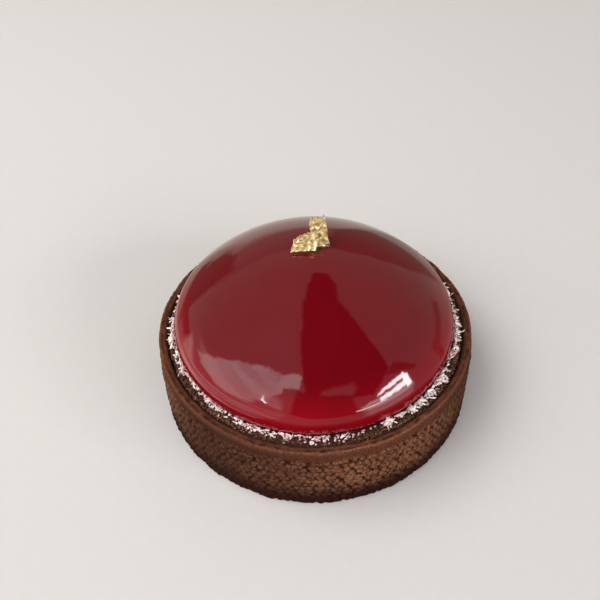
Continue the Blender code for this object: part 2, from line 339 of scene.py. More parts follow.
RIM_RADIUS = 40.0 * MM
RIM_WIDTH = 2.0 * MM
CRUST_HEIGHT = 21.2 * MM
CRUST_FLARE = 0.7 * MM
CRUST_FLOOR = 3.0 * MM
BAND_BASE = 18.0 * MM
BEAD_PITCH = 1.62 * MM
BEAD_HEIGHT = 0.62 * MM
RIM_SINK = 1.1 * MM
# Soft waves round the crust: their count in a turn, their size in mm and their phase.
ROUND_LOBES = ((2, 0.10, 0.9), (4, 0.07, 2.2))
RIM_WAVES = ((0, 0.15, np.pi / 2), (5, 0.08, 0.5), (11, 0.06, 2.0))
crust_width = (crust_high - crust_low).x
print(f"the solid crust is {crust_width / MM:.1f} mm wide and {crust_high.z / MM:.1f} mm high")


def unevenness(azimuth, waves):
    """The sum of soft waves at an azimuth, in metres."""
    return sum(size * np.sin(count * azimuth + phase) for count, size, phase in waves) * MM


def rim_height(azimuth):
    """Height of the rim: wavy all round, and slumped by RIM_SINK at the back."""
    return CRUST_HEIGHT - RIM_SINK * np.maximum(0, np.sin(azimuth)) - unevenness(azimuth, RIM_WAVES)


# %% [markdown]
# A bead field on a wall is a staggered lattice of centres. Every centre is nudged, and every bead has
# its own width and height, some nearly flat where dough was missing. The height at a point is that of
# the tallest bead over it, and a bead is a round cap: one less the squared distance from its centre in
# its own radii, to a power that makes it rounder than a ball's cap. Taking the tallest leaves sharp
# creases between beads.


# %% Bead relief
CAP_POWER = 0.72
# A bead's nudges and its smallest and largest radius are shares of the pitch. Its height is a beta draw, in
# which most beads come out nearly full.
NUDGE_ALONG, NUDGE_UP = 0.14, 0.12
BEAD_RADIUS = (0.50, 0.66)
BEAD_FULLNESS = (3.0, 1.4)
ROWS_NEAR, COLUMNS_NEAR = (-1, 0, 1, 2), (-1, 0, 1)
SPARE_ROWS = 4


def bead_field(along, height, turn_length, pitch, seed, least):
    """Relief of the beaded wall, 0 to 1, for points `along` metres round the wall and `height` up it, with
    beads about `pitch` apart. The flattest bead has the height `least`."""
    count = int(round(turn_length / pitch))
    pitch = turn_length / count
    rise = pitch * np.sqrt(3) / 2
    rows = int(CRUST_HEIGHT / rise) + SPARE_ROWS
    draw = np.random.default_rng(seed)
    nudge_along = draw.normal(0, NUDGE_ALONG, (rows, count)) * pitch
    nudge_up = draw.normal(0, NUDGE_UP, (rows, count)) * pitch
    size = draw.uniform(*BEAD_RADIUS, (rows, count)) * pitch
    tall = draw.beta(*BEAD_FULLNESS, (rows, count))
    base_row = np.floor(height / rise).astype(int)
    best = np.zeros(np.broadcast(along, height).shape)
    for row_step in ROWS_NEAR:
        row = np.clip(base_row + row_step, 0, rows - 2)
        shift = 0.5 * (row % 2)
        nearest = np.round(along / pitch - shift).astype(int)
        for column_step in COLUMNS_NEAR:
            column = (nearest + column_step) % count
            away = along - (nearest + column_step + shift) * pitch - nudge_along[row, column]
            above = height - row * rise - nudge_up[row, column]
            cap = 1 - (away**2 + above**2) / size[row, column] ** 2
            weight = least + (1 - least) * tall[row, column]
            best = np.maximum(best, np.maximum(cap, 0) ** CAP_POWER * weight)
    return best


# %% [markdown]
# The crust's profile goes from the middle of the underside to the foot, up the beaded wall and the smooth
# band, over the rounded rim and down inside. It is written as named stretches, each a list of radius and
# height, so that the mesh can be dense on the beads and coarse where the filling hides it.


# %% Profile of the crust
FOOT_ROUND, RIM_EDGE, RIM_LIP = 0.7 * MM, 0.55 * MM, 0.4 * MM
FOOT_ANGLES, EDGE_ANGLES = np.radians([(180, 150, 120, 90), (75, 50, 25, 0)])
LIP_ANGLES = np.radians((0, -35, -65, -90))
UNDERSIDE_PARTS, RIM_PARTS, FLOOR_PARTS = (0.3, 0.7, 0.94), (0.75, 0.5, 0.25), (0.6, 0.2)
WALL_HEIGHTS = np.concatenate([np.linspace(1.0, 18.0, 62), np.linspace(18.4, 20.4, 6)]) * MM
INSIDE_HEIGHTS = np.array([20.4, 20.0, 19.6, 19.0, 12.0, 3.0]) * MM


def crust_profile():
    """(radius, height) of each row, before the relief, in metres."""
    foot_radius, inner_radius = RIM_RADIUS + CRUST_FLARE, RIM_RADIUS - RIM_WIDTH
    flat_start, flat_width = inner_radius + RIM_LIP, RIM_WIDTH - RIM_LIP - RIM_EDGE
    underside = [(foot_radius * part, 0.0) for part in UNDERSIDE_PARTS]
    foot = arc(foot_radius - FOOT_ROUND, FOOT_ROUND, FOOT_ROUND, FOOT_ANGLES)
    wall = [(RIM_RADIUS + CRUST_FLARE * (1 - z / CRUST_HEIGHT), z) for z in WALL_HEIGHTS]
    edge = arc(RIM_RADIUS - RIM_EDGE, CRUST_HEIGHT - RIM_EDGE, RIM_EDGE, EDGE_ANGLES)
    top = [(flat_start + flat_width * part, CRUST_HEIGHT) for part in RIM_PARTS]
    lip = arc(flat_start, CRUST_HEIGHT - RIM_LIP, RIM_LIP, LIP_ANGLES)
    down = [(inner_radius, z) for z in INSIDE_HEIGHTS]
    floor = [(inner_radius * part, CRUST_FLOOR) for part in FLOOR_PARTS]
    return underside + foot + wall + edge + top + lip + down + floor


# %% Model the beaded wall
CRUST_COLUMNS = 940
FINE_PITCH, FINE_SHARE = 0.85 * MM, 0.15
BEAD_LIGHT_SHIFT = 0.20 * MM
# Beads of the wall, finer beads on them, and the wall's again, higher up, for painted light on the upper
# part of each bead and painted shade below it. Each row is a pitch, how far the field is shifted up, a seed
# and the flattest bead.
BEAD_FIELDS = ((BEAD_PITCH, 0, 11, 0.4), (FINE_PITCH, 0, 17, 0.3), (BEAD_PITCH, BEAD_LIGHT_SHIFT, 11, 0.6))
BEAD_SINK = 0.25  # how far the creases lie inside the plain wall, as a share of a bead's height
WALL_START, EDGE_MARGIN, HAIR = 0.3 * MM, 0.5 * MM, 0.01 * MM
BAND_DROP, BAND_WOBBLE, BAND_BLUR, BAND_WAVE = 0.3 * MM, 0.5 * MM, 0.5 * MM, 9 * MM
CRUST_DENTS = ((7, 0.12, 13), (0.8, 0.07, 14))
azimuth, plain_radius, plain_height = spun(crust_profile(), CRUST_COLUMNS)
height = plain_height * (rim_height(azimuth) / CRUST_HEIGHT)
outer = plain_radius > RIM_RADIUS - RIM_WIDTH + EDGE_MARGIN
radius = plain_radius + outer * unevenness(azimuth, ROUND_LOBES)

around_wall, turn_length = azimuth * RIM_RADIUS, 2 * np.pi * RIM_RADIUS
coarse, fine, bead_light = (
    bead_field(around_wall, height - shift, turn_length, pitch, seed, flattest)
    for pitch, shift, seed, flattest in BEAD_FIELDS
)
relief = (1 - FINE_SHARE) * coarse + FINE_SHARE * fine
on_wall = (plain_radius >= RIM_RADIUS - HAIR) & (plain_height > WALL_START)
wobble = ripples(around(RIM_RADIUS, azimuth, 0), BAND_WAVE, seed=12)
band_edge = BAND_BASE - BAND_DROP + BAND_WOBBLE * wobble
beaded = (1 - smoothstep(band_edge - BAND_BLUR, band_edge + BAND_BLUR, height)) * on_wall
skin = around(radius, azimuth, height)
dents = layered(skin, *CRUST_DENTS) * outer * (plain_height > 0)
radius = radius + BEAD_HEIGHT * (relief - BEAD_SINK) * beaded + dents

# %% [markdown]
# The top of the rim has a shallow crease all round, darkened by painted shade, and a crumbly surface. Its
# outer corner gets a painted highlight, and its inner half is smeared with chocolate. Where painted shade
# darkens the side is marked too. Like the beads, each of these marks is a number from 0 to 1 at every
# point. Some of them shape the mesh, and all are stored on it for the material.

# %% Model the rim and mark the surface
CREASE_PLACE, CREASE_SPREAD, CREASE_DEPTH = 39.1 * MM, 0.45 * MM, 0.32 * MM
CREASE_MEAN, CREASE_CHANGE, CREASE_WAVE = 0.65, 0.55, 2.5 * MM
CORNER_PLACE = CORNER_SPREAD = 0.22 * MM
SMEAR_PLACE, SMEAR_WOBBLE, SMEAR_BLUR, SMEAR_WAVE = 38.55 * MM, 0.25 * MM, 0.25 * MM, 4 * MM
RIM_CRUMBS, RIM_LOSS = ((1.0, 0.13, 15), (3, 0.10, 19)), 0.12 * MM
# Where painted shade darkens the side: azimuth and spread in degrees, and how strongly.
SHADED_SIDES = ((-128, 42, 0.95), (-20, 32, 0.9))
MARKS = ("bead_light", "beaded", "crease", "corner", "smeared", "side_shade")
on_rim = plain_height >= CRUST_HEIGHT - EDGE_MARGIN
crease = bell(plain_radius - CREASE_PLACE, CREASE_SPREAD) * on_rim
crease = crease * (CREASE_MEAN + CREASE_CHANGE * ripples(skin, CREASE_WAVE, seed=18))
corner = bell(plain_radius - RIM_RADIUS + CORNER_PLACE, CORNER_SPREAD) * on_rim
smear_edge = SMEAR_PLACE + SMEAR_WOBBLE * ripples(skin, SMEAR_WAVE, seed=16)
smeared = (1 - smoothstep(smear_edge - SMEAR_BLUR, smear_edge + SMEAR_BLUR, plain_radius)) * on_rim
# painted shade on the sides: the share of each shaded side, by azimuth
side_shade = 0 * radius
for place, spread, share in SHADED_SIDES:
    side_shade += share * bell((np.degrees(azimuth) - place + 180) % 360 - 180, spread)
height = height + on_rim * (layered(skin, *RIM_CRUMBS) - RIM_LOSS) - CREASE_DEPTH * crease
crust = turned("crust_baked", radius, height)
for name, values in zip(MARKS, (bead_light, beaded, crease, corner, smeared, side_shade)):
    note(crust, name, np.append(np.clip(values, 0, 1).ravel(), [0, 0]))

# %% [markdown]
# Baked cocoa pastry is a dry, dull brown. Each bead gets a painted highlight a little above its middle
# and painted shade below it and in the creases between beads, so a second bead field, the same as the
# mesh's but a fifth of a millimetre higher, mixes the colour. Painted shade darkens the foot, and also the
# sides at the front left and at the right. Fine noise adds crumb, and a little of it becomes bump because
# the crumb is finer than the mesh.


# %% Cocoa pastry
BAND_COLOURS = (0.080, 0.026, 0.013), (0.198, 0.076, 0.042)
# painted shade between and under the beads, and painted light on their upper parts
BEAD_SHADE_AND_LIGHT = (0.022, 0.0063, 0.0030), (0.322, 0.136, 0.072)
# of the browns below, the second is painted shade in the rim's crease and the third a painted highlight on
# its outer corner
PATCH_BROWN, CREASE_SHADE_BROWN, CORNER_HIGHLIGHT_BROWN = (0.090, 0.030, 0.015), (0.034, 0.010, 0.005), (0.225, 0.096, 0.055)
# the first two browns below are painted shade: at the foot, and on the shaded sides
FOOT_SHADE, SIDE_SHADE_BROWN, SMEAR_BROWN = (0.013, 0.0038, 0.0032), (0.028, 0.010, 0.006), (0.030, 0.011, 0.007)
GRAIN_SIZE, PATCH_SIZE, GRAIN_DEPTH, GRAIN_STRENGTH = 0.42 * MM, 9 * MM, 0.25 * MM, 0.8
FOOT_SHADE_HEIGHTS, RIM_HEIGHTS = (2.0, 9.5), (18.5, 20.5)  # mm


def make_cocoa_pastry():
    """Band or bead colour by crumb with painted bead light, then browns, mostly painted shade or highlight.
    """
    finish = Finish("cocoa_pastry")
    bead_light, beaded, crease, corner, smeared, side_shade = (finish.kept(name) for name in MARKS)
    height = finish.height()
    crumb = finish.noise(GRAIN_SIZE, detail=4, roughness=0.75)
    patches = finish.noise(PATCH_SIZE, detail=2).between(0.35, 0.7)
    band = finish.mixed(crumb.between(0.3, 0.75), *BAND_COLOURS)
    # painted light on the upper part of each bead, from the raised bead field and the crumb
    bead_light_share = (bead_light * 0.9 + crumb * 3.0 - 1.55).between(0.0, 1.0)
    body = finish.mixed(beaded, band, finish.mixed(bead_light_share, *BEAD_SHADE_AND_LIGHT))
    # painted shade at the foot, darkest at the bottom
    foot = 1 - height.between(*FOOT_SHADE_HEIGHTS)
    # painted shade on the sides, lighter on the rim
    sides = side_shade * (height.between(*RIM_HEIGHTS) * -0.5 + 0.8)
    # a painted highlight on the rim's outer corner, where the side has no painted shade
    corner_highlight = corner * (1 - side_shade) * (crumb.between(0.40, 0.62) * 0.7 + 0.25)
    for share, brown in (
        (patches * 0.35, PATCH_BROWN),
        (foot * 0.95, FOOT_SHADE),
        (sides, SIDE_SHADE_BROWN),
        # painted shade in the rim's crease
        (crease * (crumb * 0.8 + 0.5), CREASE_SHADE_BROWN),
        (corner_highlight, CORNER_HIGHLIGHT_BROWN),
        (smeared * (crumb * 0.6 + 0.55), SMEAR_BROWN),
    ):
        body = finish.mixed(share, body, brown)
    return finish.surface(
        base_color=body,
        roughness=crumb * 0.2 + 0.7,
        specular_ior_level=0.04,
        normal=finish.bump(crumb, GRAIN_DEPTH, GRAIN_STRENGTH),
    )


wear(crust, make_cocoa_pastry(), "crust", slot="cocoa_pastry")

# %% [markdown]
# ## The filling
#
# Dark chocolate fills the shell to a little under the rim. Only a narrow ring of it shows, between the rim
# and the dome, and there it is rough with crumbs that fell from the pastry. It is a turned puck whose rows
# are close together on that ring.

# %% Model the filling
FILLING_TOP = 19.6 * MM
FILLING_COLUMNS = 480
SIDE_HEIGHTS = np.array([10.0, 18.0, 19.1]) * MM
RING_RADII = np.linspace(37.5, 33.0, 20) * MM
BOTTOM_PARTS, MIDDLE_PARTS = (0.5, 1.0), (0.7, 0.3)
FILLING_DENTS = ((2.6, 0.10, 21), (0.9, 0.06, 22))
SHOWN_RADIUS, SHOWN_HEIGHT = 33.5 * MM, 19.3 * MM
filling_radius = filling_high.x
profile = [(filling_radius * part, filling_low.z) for part in BOTTOM_PARTS]
profile += [(filling_radius, z) for z in SIDE_HEIGHTS]
profile += [(r, FILLING_TOP) for r in RING_RADII]
profile += [(filling_radius * part, FILLING_TOP) for part in MIDDLE_PARTS]
azimuth, radius, height = spun(profile, FILLING_COLUMNS)
shown = (radius > SHOWN_RADIUS) & (height > SHOWN_HEIGHT)
height = height + shown * layered(around(radius, azimuth, height), *FILLING_DENTS)
filling = turned("filling_chocolate", radius, height)


# %% Dark chocolate
CHOCOLATE_COLOURS = (0.019, 0.008, 0.005), (0.115, 0.048, 0.029)


def make_dark_chocolate():
    """Dark chocolate, paler and rougher where crumb lies in it."""
    finish = Finish("dark_chocolate")
    crumb = finish.noise(0.5 * MM, detail=4, roughness=0.7)
    return finish.surface(
        base_color=finish.mixed(crumb.between(0.35, 0.75), *CHOCOLATE_COLOURS),
        roughness=crumb * 0.4 + 0.3,
        normal=finish.bump(crumb, GRAIN_DEPTH, GRAIN_STRENGTH),
    )


wear(filling, make_dark_chocolate(), "filling", slot="dark_chocolate")

# %% [markdown]
# ## The glazed dome
#
# The dome is a frozen mousse that was turned out of a mould and covered in mirror glaze. Its crown is
# part of a large sphere, and a rounded shoulder rolls under to the foot. The two touch without a kink,
# which gives the sphere's radius and keeps the reflections smooth: a mirror shows every flaw. The glaze
# then gets waves a few hundredths of a millimetre deep, enough to bend a reflected edge a little. Low at
# the front left it set in long wrinkles while it ran: the same disorder, worked out on a skin that is
# squeezed along the shoulder, so that each wave is drawn out five times.

# %% Sizes of the dome
DOME_WAIST = 23.0 * MM
DOME_SHOULDER = 5.5 * MM
dome_radius = (dome_high.x - dome_low.x) / 2
dome_centre = ((dome_high.x + dome_low.x) / 2, (dome_high.y + dome_low.y) / 2)
dome_rise = dome_high.z - DOME_WAIST
inner = dome_radius - DOME_SHOULDER
crown_radius = (inner**2 + dome_rise**2 - DOME_SHOULDER**2) / (2 * (dome_rise - DOME_SHOULDER))
crown_centre = DOME_WAIST + dome_rise - crown_radius
print(f"dome {dome_radius / MM:.2f} mm in radius, its crown a sphere of {crown_radius / MM:.1f} mm")


def dome_side(z):
    """Radius of the shoulder at a height below the waist, and of the waist above it."""
    fall = np.clip(DOME_WAIST - z, 0, DOME_SHOULDER)
    return inner + np.sqrt(DOME_SHOULDER**2 - fall**2)


def dome_top(x, y):
    """Height of the crown above a place."""
    return crown_centre + np.sqrt(crown_radius**2 - (x - dome_centre[0]) ** 2 - (y - dome_centre[1]) ** 2)


# %% Model the dome
DOME_COLUMNS, SHOULDER_ROWS, CROWN_ROWS = 400, 36, 96
CROWN_CROWDING = 1.25  # above 1, the crown's rows lie closer together near the shoulder
UNDER_PARTS = (0.3, 0.7, 0.9)
BROAD_WAVES, LOW_WAVES, LOW_HEIGHTS = (16, 0.022, 31), (5, 0.05, 32), (20.5 * MM, 23.5 * MM)
GLAZE_SETTLING = 0.04 * MM
CROWN_HEIGHTS, CROWN_CALM = (23 * MM, 40 * MM), 0.8
# The wrinkles' azimuth and height, the spreads of both, and how the skin is squeezed and slants there.
WRINKLE_TURN, WRINKLE_LEVEL = np.radians(-130), 25.5 * MM
WRINKLE_SPREAD, WRINKLE_REACH = np.radians(26), 3.2 * MM
WRINKLE_SQUEEZE, WRINKLE_SLANT = 5, 2 * MM
WRINKLE_LENGTH, WRINKLE_DEPTH = 1.5 * MM, 0.035 * MM
shoulder_start = np.arctan2(inner, DOME_WAIST - crown_centre)
foot_angle = np.arccos((dome_low.z - DOME_WAIST) / DOME_SHOULDER)
crowded = 1 - np.linspace(0, 1, CROWN_ROWS)[1:-1] ** CROWN_CROWDING
profile = [(dome_radius * part, dome_low.z) for part in UNDER_PARTS]
profile += arc(inner, DOME_WAIST, DOME_SHOULDER, np.linspace(foot_angle, shoulder_start, SHOULDER_ROWS))
profile += arc(0, crown_centre, crown_radius, shoulder_start * crowded)
azimuth, radius, height = spun(profile, DOME_COLUMNS)
above_foot = height > dome_low.z + HAIR
skin = around(radius, azimuth, height)
waves = layered(skin, BROAD_WAVES) + layered(skin, LOW_WAVES) * (1 - smoothstep(*LOW_HEIGHTS, height))
turn = (azimuth - WRINKLE_TURN + np.pi) % (2 * np.pi) - np.pi
squeezed = turn * dome_radius / WRINKLE_SQUEEZE + 0 * height
drawn_out = np.stack([squeezed, 0 * height, height + turn * WRINKLE_SLANT], -1)
wrinkled = bell(turn, WRINKLE_SPREAD) * bell(height - WRINKLE_LEVEL, WRINKLE_REACH)
wrinkles = ripples(drawn_out, WRINKLE_LENGTH, seed=33) * wrinkled * WRINKLE_DEPTH
calm = 1 - CROWN_CALM * smoothstep(*CROWN_HEIGHTS, height)
radius = radius + above_foot * (waves - GLAZE_SETTLING) * calm + wrinkles
dome = turned("dome_glazed", radius, height, dome_centre)

# %% [markdown]
# Mirror glaze is coloured gelatine: a deep red that lets light in a little way, under a surface like wet
# glass. Its gloss is the shader's own clear surface with almost no roughness. The colour shifts slightly
# from a darker crown to a brighter shoulder.


# %% Red mirror glaze
GLAZE_COLOURS = (0.106, 0.0009, 0.0031), (0.230, 0.0018, 0.0066)
CLOUD_RED, CLOUD_SHARE, CLOUD_SIZE = (0.096, 0.0008, 0.0027), 0.25, 14 * MM
BRIGHTENING = (32.5, 22.5)  # mm above the base


def make_red_glaze():
    """A red that brightens down the dome, with faint clouds, under a nearly perfect gloss."""
    finish = Finish("red_glaze")
    clouds = finish.noise(CLOUD_SIZE, detail=1)
    colour = finish.mixed(finish.height().between(*BRIGHTENING), *GLAZE_COLOURS)
    colour = finish.mixed(clouds.between(0.3, 0.7) * CLOUD_SHARE, colour, CLOUD_RED)
    return finish.surface(base_color=colour, roughness=clouds * 0.02 + 0.03, ior=1.48)


wear(dome, make_red_glaze(), "dome", slot="red_glaze")

# %% [markdown]
# ## The coconut collar
#
# Desiccated coconut was pressed against the wet foot of the glaze. Each shred is a short, thin strip,
# bent and a little twisted. There are well over a thousand, so all of them are made at once: every shred
# has the same few sections of four corners, and arrays hold the middle line, the width and the twist of
# all shreds together. They lean on the dome, cross one another and lie on the filling, and a few fell on
# the rim.
#
# The collar isn't even. It is dense and white at the right and the left, thinner and stained pink at the
# front, and a table of azimuths says so.

# %% Where the coconut lies
# (from, to, lying shreds, standing shreds and fragments in a degree, heap and length in mm, share stained
# pink, how far out the heap begins as a share of the way to the crust); -90 faces the viewer.
COLLAR = (
    (-70, -20, 2.3, 1.2, 1.1, 2.1, 1.5, 0.16, 0.0),
    (-20, 25, 3.2, 1.4, 1.8, 2.0, 1.6, 0.16, 0.19),
    (25, 160, 2.0, 0.5, 1.2, 2.2, 1.5, 0.20, 0.0),
    (160, 192, 3.9, 0.6, 2.4, 2.0, 1.6, 0.14, 0.40),
    (192, 207, 3.2, 0.4, 2.4, 1.8, 1.4, 0.20, 0.18),
    (207, 236, 1.1, 0.1, 2.2, 1.1, 1.1, 0.40, 0.0),
    (236, 262, 1.4, 0.2, 2.2, 1.6, 1.1, 0.60, 0.0),
    (262, 290, 0.7, 0.2, 2.0, 1.3, 1.0, 0.85, 0.0),
)
# Shreds and crumbs of coconut that fell apart from the collar: x, y and z, length, width and heading.
STRAYS = (
    (-2.0, -36.5, 20.2, 1.0, 1.1, 0.4),
    (34.7, -16.3, 20.6, 1.6, 0.5, 1.0),
)
STANDING = 1  # a shred's kind: lying shreds come before this one and fragments after it
STAIN_STRENGTH = (0.35, 1.0)
SHRED_SECTIONS = 5
CLUMP_RADIUS, CLUMP_LENGTH, CLUMP_SHIFT = 35 * MM, 6 * MM, 0.052


def scatter_collar(seed):
    """Azimuth, heap, typical length, distance out, stain and kind of every shred, drawn evenly within each
    stretch and then drawn together into clumps by a wave along the collar."""
    draw = np.random.default_rng(seed)
    shreds = []
    for start, end, *densities, heap, length, pink, away in COLLAR:
        for kind, density in enumerate(densities):
            count = int((end - start) * density)
            azimuth = np.radians(draw.uniform(start, end, count))
            stain = (draw.uniform(size=count) < pink) * draw.uniform(*STAIN_STRENGTH, count)
            even = np.ones(count)
            typical = (even * heap * MM, even * length * MM, even * away)
            shreds.append(np.stack([azimuth, *typical, stain, even * kind]))
    azimuth, *others = np.concatenate(shreds, 1)
    clumps = ripples(around(CLUMP_RADIUS, azimuth, 0), CLUMP_LENGTH, seed=43)
    azimuth = azimuth + CLUMP_SHIFT * clumps
    return azimuth, *others


# %% [markdown]
# A strip's middle line starts at its centre and runs both ways along a heading that turns evenly, which
# makes an arc. Across it stand the strip's width and, at right angles to both, its thickness. The corners
# are then pushed out of whatever they would cut into: the dome's shoulder, the filling and the crust.


# %% Shreds as arrays
END_DIP, END_NARROWING = 1.2, 0.55
CORNER_SIGNS = ((-1, -1), (1, -1), (1, 1), (-1, 1))
FILLING_GAP, WALL_GAP, RIM_GAP, RIM_REACH = 0.02 * MM, 0.04 * MM, 0.03 * MM, 0.35 * MM


def strips(centre, heading, pitch, length, width, thickness, bend, twist):
    """Corners of n bent strips, as an (n, sections, 4, 3) array.

    At s from -1/2 to 1/2 of its length a strip's middle line lies at the centre plus the integral of its
    direction, which turns by `bend` over the length. The cross-section turns by `twist` and narrows as the
    fourth power of 2s, and the strip rises less towards its ends.
    """
    s = np.linspace(-0.5, 0.5, SHRED_SECTIONS)
    angle = heading[:, None] + bend[:, None] * s
    flat = np.stack([np.cos(angle), np.sin(angle), 0 * angle], -1) * np.cos(pitch)[:, None, None]
    rising = np.stack([0 * angle, 0 * angle, np.sin(pitch)[:, None] * (1 - END_DIP * np.abs(s))], -1)
    direction = flat + rising
    steps = (direction[:, 1:] + direction[:, :-1]) / 2 * (length / (SHRED_SECTIONS - 1))[:, None, None]
    line = np.concatenate([np.zeros((len(centre), 1, 3)), np.cumsum(steps, 1)], 1)
    line = line - line.mean(1, keepdims=True) + centre[:, None]
    direction /= np.linalg.norm(direction, axis=-1, keepdims=True)
    across = np.cross(direction, [0, 0, 1])
    across /= np.linalg.norm(across, axis=-1, keepdims=True)
    up = np.cross(across, direction)
    roll = twist[:, None] * (1 + s)
    turned_across = across * np.cos(roll)[..., None] + up * np.sin(roll)[..., None]
    turned_up = up * np.cos(roll)[..., None] - across * np.sin(roll)[..., None]
    narrow = 1 - END_NARROWING * (2 * s) ** 4
    half_width = turned_across * (width[:, None] * narrow / 2)[..., None]
    half_rise = turned_up * (thickness[:, None] * narrow / 2)[..., None]
    return np.stack([line + a * half_width + b * half_rise for a, b in CORNER_SIGNS], 2)


# %% Faces of the shreds, and what they keep clear of
def strip_faces(count):
    """Quads of the four sides and the two ends of each strip."""
    ring = np.arange(4)
    side = np.stack([ring, (ring + 1) % 4, (ring + 1) % 4 + 4, ring + 4], -1)
    sides = (side[None] + 4 * np.arange(SHRED_SECTIONS - 1)[:, None, None]).reshape(-1, 4)
    last = 4 * (SHRED_SECTIONS - 1)
    ends = np.array([[3, 2, 1, 0], [last, last + 1, last + 2, last + 3]])
    one = np.concatenate([sides, ends])
    return (one[None] + (4 * SHRED_SECTIONS * np.arange(count))[:, None, None]).reshape(-1, 4)


def keep_out(points):
    """Moves points that lie in the dome's shoulder, the crust or the filling to the nearest free place:
    outwards from the dome, inwards or up from the crust, and up from the filling."""
    x, y, z = np.moveaxis(points, -1, 0)
    z = np.maximum(z, FILLING_TOP + FILLING_GAP)
    reach = np.hypot(x, y)
    rim = rim_height(np.arctan2(y, x)) + RIM_GAP
    over = (z > rim - RIM_REACH) & (reach > RIM_RADIUS - RIM_WIDTH)
    z = np.where(over, np.maximum(z, rim), z)
    shrink = np.where(over, 1, np.minimum(1, (RIM_RADIUS - RIM_WIDTH - WALL_GAP) / reach))
    x, y = x * shrink - dome_centre[0], y * shrink - dome_centre[1]
    grow = np.maximum(1, (dome_side(z) - FILLING_GAP) / np.hypot(x, y))
    return np.stack([dome_centre[0] + x * grow, dome_centre[1] + y * grow, z], -1)


# %% Sizes and turns of the shreds
# Three numbers in a row are for the three kinds: lying shreds, standing shreds and fragments.
LEVEL_SHARES, LEVEL_BETA, LOWEST_CENTRE = (1.0, 1.0, 0.35), (1.0, 1.5), 0.15 * MM
CROWDING, LEVEL_PULL = (7.0, 7.0, 3.8), 0.5
DOME_GAP, OVER_RIM, STAND_OFF = 0.05 * MM, 0.4 * MM, 0.32
LENGTH_SHARES, LENGTH_SPREAD, LENGTH_LIMITS = (1.0, 1.0, 0.5), 0.30, (0.5, 1.8)
WIDTHS, WIDTH_SHARES = (0.26, 0.52), (1.0, 1.0, 1.3)
THICKNESSES, THICKNESS_SHARES = (0.14, 0.24), (1.0, 1.0, 1.5)
STANDING_SWING, LYING_SWING, FRAGMENT_SWING = 0.55, 0.42, 1.5
PITCH_SPREAD, STANDING_PITCH = 0.32, 0.2
BEND_SPREAD, BEND_ROUND_DOME, MOST_TWIST = 0.55, 0.05, 1.2
STRAY_THICKNESS, STRAY_BEND, STRAY_TWIST = 0.25 * MM, 0.4, 0.2
TONE, TONE_SPREAD = 0.6, 0.22


def by_kind(values):
    """One of three values for each shred."""
    return np.take(values, kind)


# %% Model the shreds
draw = np.random.default_rng(41)
azimuth, heap, length, away, stain, kind = scatter_collar(seed=42)
kind = kind.astype(int)
count = len(azimuth)
standing, fragment = kind == STANDING, kind > STANDING
level = draw.beta(*LEVEL_BETA, count) * by_kind(LEVEL_SHARES)
centre_z = FILLING_TOP + LOWEST_CENTRE + heap * level
nearest = dome_side(centre_z) + DOME_GAP
room_left = RIM_RADIUS - RIM_WIDTH + OVER_RIM - nearest
spread = away + (1 - away) * draw.beta(1.0, by_kind(CROWDING)) * (1 - LEVEL_PULL * level)
length = length * np.clip(draw.lognormal(0, LENGTH_SPREAD, count), *LENGTH_LIMITS) * by_kind(LENGTH_SHARES)
centre_r = nearest + spread * room_left + standing * STAND_OFF * length
outwards, sideways = draw.normal(0, STANDING_SWING, count), draw.normal(0, LYING_SWING, count)
heading = azimuth + np.where(standing, outwards, np.pi / 2 + sideways)
shreds = strips(
    around(centre_r, azimuth, centre_z),
    heading + fragment * draw.uniform(-FRAGMENT_SWING, FRAGMENT_SWING, count),
    pitch=draw.normal(0, PITCH_SPREAD, count) + standing * STANDING_PITCH,
    length=length,
    width=draw.uniform(*WIDTHS, count) * by_kind(WIDTH_SHARES) * MM,
    thickness=draw.uniform(*THICKNESSES, count) * by_kind(THICKNESS_SHARES) * MM,
    bend=draw.normal(0, BEND_SPREAD, count)
    - (1 - standing) * BEND_ROUND_DOME * np.sign(np.cos(heading - azimuth)),
    twist=draw.uniform(-MOST_TWIST, MOST_TWIST, count),
)

# %% Model the strays and join the collar
*stray_centre, stray_length, stray_width, stray_heading = np.array(STRAYS).T
stray = np.ones(len(STRAYS))
strays = strips(
    np.stack(stray_centre, -1) * MM,
    stray_heading,
    pitch=0 * stray,
    length=stray_length * MM,
    width=stray_width * MM,
    thickness=STRAY_THICKNESS * stray,
    bend=STRAY_BEND * stray,
    twist=STRAY_TWIST * stray,
)
shreds = np.concatenate([shreds, strays])
count += len(STRAYS)
stain = np.append(stain, 0 * stray)
coconut = add_mesh("coconut_collar", keep_out(shreds).reshape(-1, 3), strip_faces(count))
note(coconut, "stain", np.repeat(stain, 4 * SHRED_SECTIONS))
tone = np.clip(draw.normal(TONE, TONE_SPREAD, count), 0, 1)
note(coconut, "tone", np.repeat(tone, 4 * SHRED_SECTIONS))
print(f"{count} shreds, {int((stain > 0).sum())} of them stained pink")


# %% [markdown]
# Dried coconut is a warm white that lets some light through, and here and there the red glaze has crept
# into it. Each shred carries two numbers, its own tone and how far it is stained, and the material mixes
# three colours by them.


# %% Coconut
COCONUT_COLOURS, STAINED = ((0.78, 0.61, 0.56), (0.98, 0.92, 0.88)), (0.56, 0.17, 0.20)


def make_coconut():
    """Cream or white by each shred's tone, and pink where it is stained."""
    finish = Finish("coconut")
    fibre = finish.noise(0.25 * MM, detail=3)
    colour = finish.mixed(finish.kept("tone"), *COCONUT_COLOURS)
    colour = finish.mixed((finish.kept("stain") + fibre * 0.3 - 0.15) * 0.8, colour, STAINED)
    return finish.surface(
        base_color=colour,
        roughness=fibre * 0.3 + 0.35,
        normal=finish.bump(fibre, 0.05 * MM, 0.5),
    )


wear(coconut, make_coconut(), slot="coconut")

